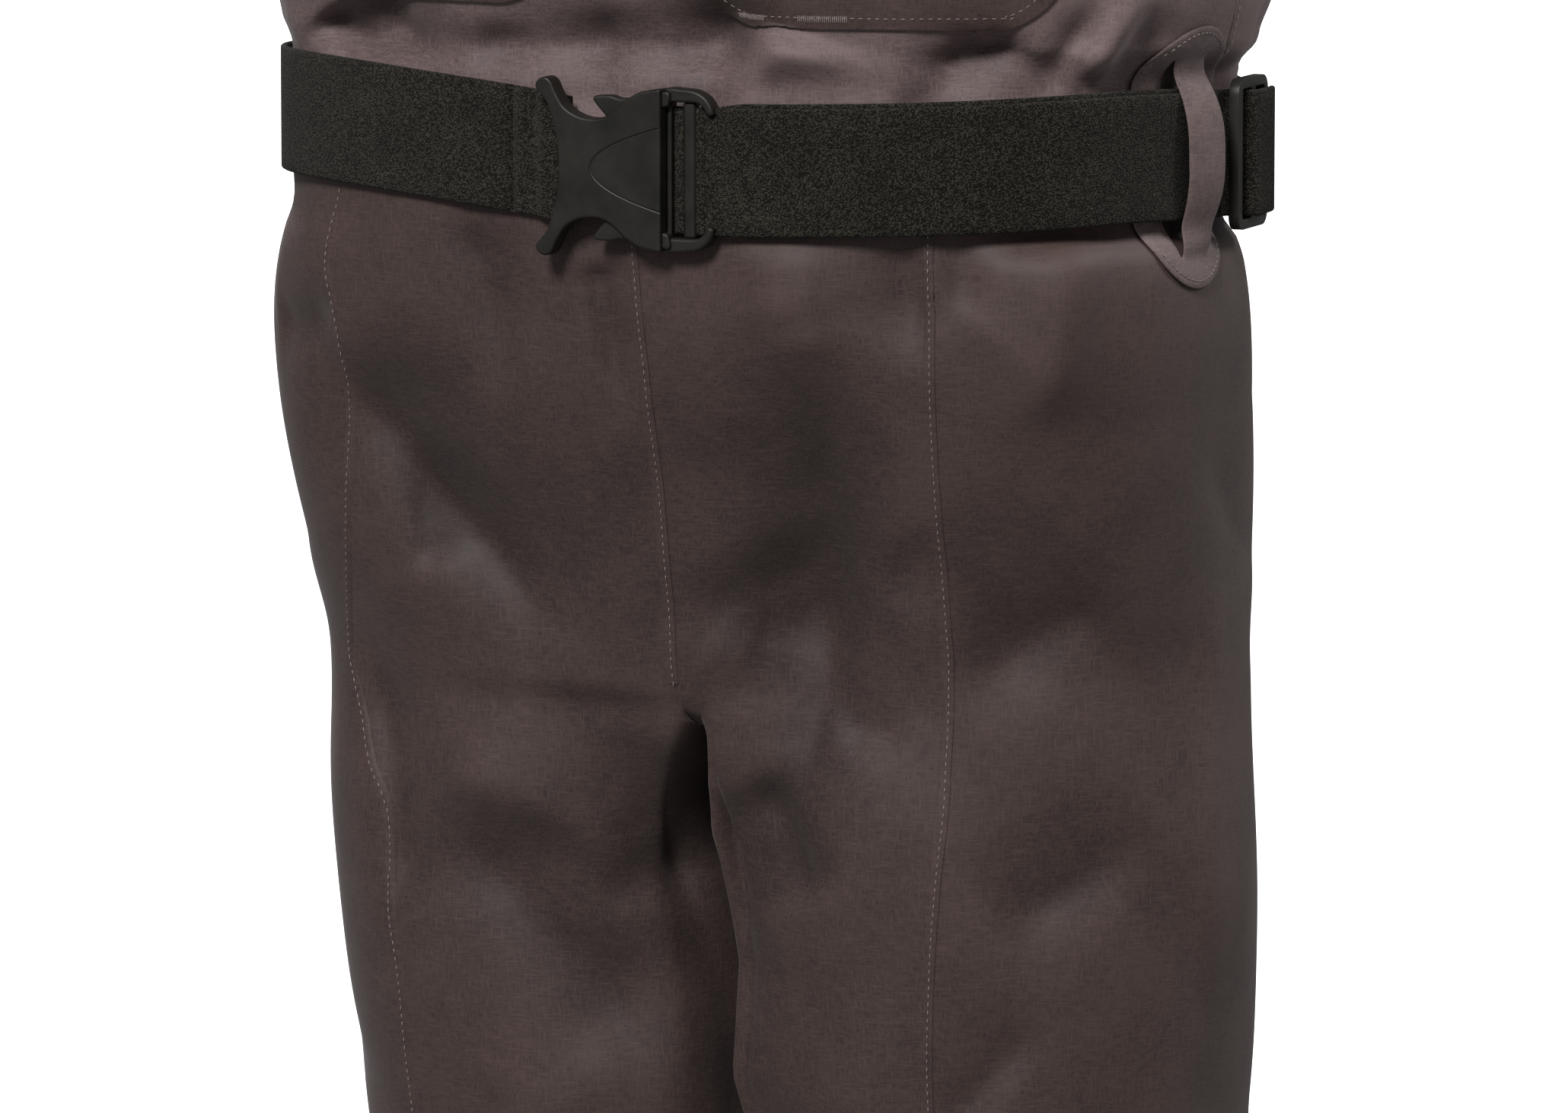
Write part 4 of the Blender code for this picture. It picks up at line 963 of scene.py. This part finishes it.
def mouldPlate(name, outline, low, high, edge=0.0):
    outline = [tuple(p) for p in outline]
    turned = sum(a[0] * b[1] - b[0] * a[1] for a, b in zip(outline, outline[1:] + outline[:1]))
    outline = outline if turned > 0 else outline[::-1]
    bpy.ops.mesh.primitive_circle_add(vertices=len(outline), radius=0.01, fill_type="NGON")
    piece = bpy.context.object
    piece.name = name
    for vertex, (along, up) in zip(piece.data.vertices, outline):
        vertex.co = (buckle["x"] + along / 1000, buckle["y"] - low / 1000, buckle["z"] + up / 1000)
    thicken = {"TRANSFORM_OT_translate": {"value": (0, -(high - low) / 1000, 0)}}
    editMesh(piece, (bpy.ops.mesh.extrude_region_move, thicken),
             (bpy.ops.mesh.select_all, {"action": "SELECT"}), normalsOut)
    if edge:
        addModifier(piece, "BEVEL", width=edge / 1000, segments=4, limit_method="ANGLE",
                    angle_limit=math.radians(65), use_clamp_overlap=True)
    return piece


def cutWith(piece, tool):
    addModifier(piece, "BOOLEAN", operation="DIFFERENCE", object=tool, solver="EXACT")
    bpy.data.objects.remove(tool)


def grooveTube(path, radius):
    curve = bpy.data.curves.new("groove", "CURVE")
    curve.dimensions = "3D"
    curve.bevel_depth = radius
    curve.bevel_resolution = 2
    line = curve.splines.new("POLY")
    line.points.add(len(path) - 1)
    for point, place in zip(line.points, path):
        point.co = (*place, 1.0)
    tube = pick(newObject("groove", curve))
    bpy.ops.object.convert(target="MESH")
    return tube


def upsideDown(outline):
    return [(along, -up) for along, up in outline]


def roundLine(outline):
    return [tuple(p) for p in drawLine(outline, buckle["step"])]


upper = roundLine(housingLine)
lower = upsideDown(upper)[::-1]
housing = mouldPlate("buckleHousing", upper + lower[:-1], *plateDepths["housing"])
tongue = [(buckle["x"] + groove["from"] - groove["reach"] * (1 - t * t), buckle["y"] - groove["out"],
           buckle["z"] + groove["half"] * t)
          for t in np.linspace(-groove["past"], groove["past"], groove["count"])]
cutWith(housing, grooveTube(tongue, groove["radius"]))
frameParts = []
for flip in (list, upsideDown):
    room = np.array(flip(prongLine))
    middle = room.mean(0)
    room = middle + (room - middle) * buckle["room"]
    cutWith(housing, mouldPlate("prongRoom", room, *plateDepths["room"]))
    for name, outline in (("prong", prongLine), ("arm", armLine)):
        plate = roundLine(outline + outline[:1])[:-1]
        frameParts.append(mouldPlate(name, flip(plate), *plateDepths[name]))
for name, outline in (("post", postLine), ("bar", barLine)):
    frameParts.append(mouldPlate(name, outline, *plateDepths[name]))
buckleFrame = pick(*frameParts)
bpy.ops.object.join()
buckleFrame.name = "buckleFrame"
for piece, node in ((housing, "buckle_housing"), (buckleFrame, "buckle_frame")):
    shadeSmooth(piece, 38)
    addModifier(piece, "WEIGHTED_NORMAL", weight=90, keep_sharp=True)
    finishPiece(piece, plastic, "buckle_plastic", node)


# slider: the CAD's own frame with its edges rounded
slider = copyNodes("beltSlider", "belt_slider", merge=0.00002)
editMesh(slider, (bpy.ops.mesh.dissolve_limited, {"angle_limit": math.radians(2)}))
addModifier(slider, "BEVEL", width=buckle["sliderEdge"], segments=3, limit_method="ANGLE",
            angle_limit=math.radians(40), use_clamp_overlap=True)
shadeSmooth(slider, 35)
finishPiece(slider, plastic, "buckle_plastic", "belt_slider")
print("buckle and slider moulded")


# belt loop: an oval patch with two slits, whose middle strip stands over the belt, stitched round its edge
loopSizes = {"angle": 80.6, "radius": 0.190, "middle": 1.0025, "halfWidth": 31, "halfHeight": 52,
             "strip": 10.5, "slit": 11.2, "slitHalf": 39, "overBelt": 15.0, "arch": 2.6, "twist": 2.4,
             "lift": 0.7, "wall": 0.0010, "rows": 29, "lobeSteps": 4, "stripSteps": 3,
             "endShares": (0.35, 0.7, 1.0)}
loopRow = {"inset": 3.2, "turn": 1.45, "count": 30, "clearHalf": 27.2, "lift": 1.05}
joinSlips = (0, 0.002, -0.002, 0.004, -0.004)  # steps past the open join of bib and legs


def loopWidth(up):
    past = max(0.0, abs(up) - (loopSizes["halfHeight"] - loopSizes["halfWidth"])) / loopSizes["halfWidth"]
    return loopSizes["halfWidth"] * math.sqrt(max(0.0, 1 - past * past))


def loopPlace(across, up, lift):
    turn = math.radians(loopSizes["angle"]) + across / 1000 / loopSizes["radius"]
    way = Vector((math.sin(turn), -math.cos(turn), 0))
    height = loopSizes["middle"] + up / 1000
    for slip in joinSlips:
        hit, normal, face, far = waistTree.ray_cast(Vector((0, 0, height + slip)) + way * 0.5, -way)
        if hit:
            break
    flat = Vector((normal.x, normal.y, 0)).normalized()
    return Vector((hit.x, hit.y, height)) + flat * (lift / 1000)


def makeLoop():
    strip, slit, slitHalf = loopSizes["strip"], loopSizes["slit"], loopSizes["slitHalf"]
    lobeSteps, stripSteps, ends = loopSizes["lobeSteps"], loopSizes["stripSteps"], loopSizes["endShares"]
    rows = []
    for up in np.linspace(-slitHalf, slitHalf, loopSizes["rows"]):
        wide = loopWidth(up)
        lobe = [slit + (wide - slit) * i / lobeSteps for i in range(lobeSteps + 1)]
        rise = 1 - (abs(up) / slitHalf) ** loopSizes["arch"]
        over, twist = rise * loopSizes["overBelt"], rise * loopSizes["twist"]
        row = [(-x, up, 0.0) for x in reversed(lobe)]
        for share in np.arange(-stripSteps, stripSteps + 1) / stripSteps:
            row.append((strip * share, up, over + twist * share))
        rows.append(row + [(x, up, 0.0) for x in lobe])
    columns = [x for x, up, over in rows[0]]
    arc = loopSizes["halfHeight"] - loopSizes["halfWidth"]
    for end in (1, -1):
        for share in ends:
            row = []
            for x in columns:
                top = arc + math.sqrt(loopSizes["halfWidth"] ** 2 - x * x)
                row.append((x, end * (slitHalf + share * (top - slitHalf)), 0.0))
            rows.insert(len(rows) if end > 0 else 0, row)
    points, faces = [], []
    wide = len(columns)
    for row in rows:
        points += [loopPlace(x, up, loopSizes["lift"] + over) for x, up, over in row]
    for i in range(len(rows) - 1):
        slitted = len(ends) <= i < len(rows) - 1 - len(ends)
        for j in range(wide - 1):
            if not (slitted and j in (lobeSteps, lobeSteps + 2 * stripSteps + 1)):
                a = i * wide + j
                faces.append((a, a + 1, a + wide + 1, a + wide))
    piece = meshPiece("loopPatch", points, faces)
    editMesh(piece, (bpy.ops.mesh.remove_doubles, {"threshold": 0.00005}))
    addModifier(piece, "SOLIDIFY", thickness=loopSizes["wall"], offset=1.0)
    addModifier(piece, "SUBSURF", levels=1, render_levels=1)
    shadeSmooth(piece, 50)
    return piece


loopPatch = makeLoop()
finishPiece(loopPatch, bibNylon, "bib_cloth", "belt_loop")
edge = []
reach = loopSizes["halfWidth"] - loopRow["inset"]
for end in (1, -1):
    arc = []
    for turn in np.linspace(-loopRow["turn"], loopRow["turn"], loopRow["count"]):
        up = end * (loopSizes["halfHeight"] - loopSizes["halfWidth"] + reach * math.cos(turn))
        if abs(up) > loopRow["clearHalf"]:
            place = loopPlace(reach * math.sin(turn), up, loopSizes["lift"] + loopRow["lift"])
            arc.append((place, Vector((place.x, place.y, 0)).normalized()))
    edge += frameLine(arc)
row = sewStitches("loopStitches", edge, 0.0, seamLook["stitch"], seamLook["thread"])
finishPiece(row, thread, "bib_cloth")
print("belt loop laid")


# chest pockets: flat patches with round lower corners, laid on the bib and stitched inside their edge
pocketSizes = {"inner": 30, "outer": 172, "top": 1222, "corner": 26, "cornerShare": 0.2, "steps": (48, 56),
               "lift": 0.5, "wall": 0.0010}
pocketRow = {"inset": 4.0, "step": 3.2, "thread": 0.45, "lift": 0.05}
# bar tacks are dense stitches across the lower edge, in millimetres from the middle
barTack = {"spans": ((47, 60), (75, 94)), "up": 3.4, "step": 0.75, "length": 3.2, "thread": 0.55,
           "lift": 0.1, "turn": 86}


def makePocket(name, side, bottom):
    across, upwards = pocketSizes["steps"]
    bpy.ops.mesh.primitive_grid_add(x_subdivisions=across, y_subdivisions=upwards, size=1.0)
    piece = bpy.context.object
    piece.name = name
    points, normals = readPoints(piece)
    share = (points[:, 0] + 0.5) if side > 0 else (0.5 - points[:, 0])
    up = points[:, 1] + 0.5
    corner, part = pocketSizes["corner"], pocketSizes["cornerShare"]
    tall = pocketSizes["top"] - bottom
    turned = np.clip(up / part, 0, 1)
    height = np.where(up < part, corner * (1 - np.cos(turned * math.pi / 2)),
                      corner + (tall - corner) * (up - part) / (1 - part))
    inset = corner * (1 - np.sin(turned * math.pi / 2))
    x = pocketSizes["inner"] + inset + share * (pocketSizes["outer"] - pocketSizes["inner"] - 2 * inset)
    placed = []
    for a, h in zip(side * x / 1000, (bottom + height) / 1000):
        hit, normal, face, far = bibTree.ray_cast(Vector((a, -0.5, h)), Vector((0, 1, 0)))
        placed.append(hit + normal * (pocketSizes["lift"] / 1000))
    writePoints(piece, np.array(placed))
    editMesh(piece, normalsOut)
    if sum(face.normal.y for face in piece.data.polygons) > 0:
        piece.data.flip_normals()
    addModifier(piece, "SOLIDIFY", thickness=pocketSizes["wall"], offset=1.0)
    shadeSmooth(piece, 50)
    return piece


def pocketEdge(side, bottom):
    inset = pocketRow["inset"]
    inner, outer = pocketSizes["inner"] + inset, pocketSizes["outer"] - inset
    corner = pocketSizes["corner"] - inset
    low = bottom + inset
    path = [(inner, pocketSizes["top"] - inset)]
    for turn in np.linspace(0, math.pi / 2, 7):
        path.append((inner + corner * (1 - math.cos(turn)), low + corner * (1 - math.sin(turn))))
    for turn in np.linspace(math.pi / 2, 0, 7):
        path.append((outer - corner * (1 - math.cos(turn)), low + corner * (1 - math.sin(turn))))
    path.append((outer, pocketSizes["top"] - inset))
    return [(side * x, z) for x, z in path]


for sideName, side, bottom in (("Left", 1, 1057), ("Right", -1, 1063)):
    pocket = makePocket("pocket" + sideName, side, bottom)
    finishPiece(pocket, legNylon, "leg_cloth", "pocket_" + sideName.lower())
    pocketTree = surfaceTree(pocket)
    stations = castLine(pocketTree, pocketEdge(side, bottom), frontView, pocketRow["step"])
    row = sewStitches("pocket" + sideName + "Stitches", stations, 0.0, seamLook["stitch"],
                      pocketRow["thread"], pocketRow["lift"])
    finishPiece(row, thread, "leg_cloth")
    stations = []
    for first, last in barTack["spans"]:
        path = [(side * x, bottom + barTack["up"]) for x in (first, (first + last) / 2, last)]
        stations += castLine(pocketTree, path, frontView, barTack["step"])
    tack = sewStitches("pocket" + sideName + "Tacks", stations, 0.0, barTack["length"], barTack["thread"],
                       barTack["lift"], math.radians(barTack["turn"]))
    finishPiece(tack, thread, "leg_cloth")
print("pockets laid")


# stocking feet: thick soft neoprene over the CAD's last, with a few slack wrinkles at the ankle
sockFolds = (
    ("instep", "both", ((40, 118), (95, 108), (150, 118)), 7, 12, -2.5, 0.2, 0.2),
    ("shaft", "both", ((40, 168), (98, 158), (155, 170)), 8, 12, -2.0, 0.2, 0.2),
    ("instep, right", "both", ((-150, 116), (-95, 108), (-40, 118)), 7, 12, -2.5, 0.2, 0.2),
    ("shaft, right", "both", ((-155, 172), (-98, 160), (-40, 168)), 8, 12, -2.0, 0.2, 0.2),
)
soleEdge = 0.0015
for sideName in ("left", "right"):
    sock = copyNodes("sock" + sideName.title(), "sock_" + sideName)
    addModifier(sock, "SUBSURF", levels=3, render_levels=3)
    pressFolds(sock, sockFolds, frontView)
    shadeSmooth(sock, 50)
    finishPiece(sock, neoprene, "neoprene", "sock_" + sideName)
    sole = copyNodes("sole" + sideName.title(), "sole_" + sideName)
    addModifier(sole, "BEVEL", width=soleEdge, segments=2, limit_method="ANGLE",
                angle_limit=math.radians(50))
    shadeSmooth(sole, 35)
    finishPiece(sole, neoprene, "neoprene", "sole_" + sideName)
print("feet made")


# floor, light and camera
stageLook = {"floor": "#fafafa", "floorSize": 120.0, "world": 0.27, "angle": 16, "sensor": 36.0,
             "lens": 235.4, "clipEnd": 200.0}
suns = {"key": (3.6, 3, 38), "rim": (1.5, 128, 40), "back": (2.6, -140, 42)}  # strength, way and height
bpy.ops.mesh.primitive_plane_add(size=stageLook["floorSize"], location=(0, 0, 0))
floor = bpy.context.object
floor.name = "floor"
floorPaint, floorTree, floorShader = startMaterial("paleFloor")
setNode(floorTree, floorShader, {"Base Color": hexColour(stageLook["floor"]), "Roughness": 0.9,
                                 "Specular IOR Level": 0.1})
floor.data.materials.append(floorPaint)
floor.visible_diffuse = False  # the studio floor is lit apart and throws no light up
floor.visible_glossy = False

world = bpy.data.worlds.new("studio")
bpy.context.scene.world = world
world.use_nodes = True
setNode(world.node_tree, world.node_tree.nodes["Background"], {"Color": (1, 1, 1, 1),
                                                               "Strength": stageLook["world"]})

for name, (strength, way, height) in suns.items():
    sun = newObject(name, bpy.data.lights.new(name, "SUN"))
    sun.data.energy = strength
    sun.data.angle = math.radians(stageLook["angle"])
    sun.rotation_euler = Vector(viewAxes(way, height)["back"]).to_track_quat("Z", "Y").to_euler()

camera = newObject("camera", bpy.data.cameras.new("camera"))
camera.data.sensor_width = stageLook["sensor"]
camera.data.sensor_fit = "HORIZONTAL"
camera.data.lens = stageLook["lens"]
camera.data.clip_end = stageLook["clipEnd"]
camera.location = Vector(photoView["target"] + photoView["back"] * photoView["distance"])
camera.rotation_euler = Vector(photoView["back"]).to_track_quat("Z", "Y").to_euler()
bpy.context.scene.camera = camera
bpy.context.scene.view_settings.view_transform = "Standard"
print("stage set")
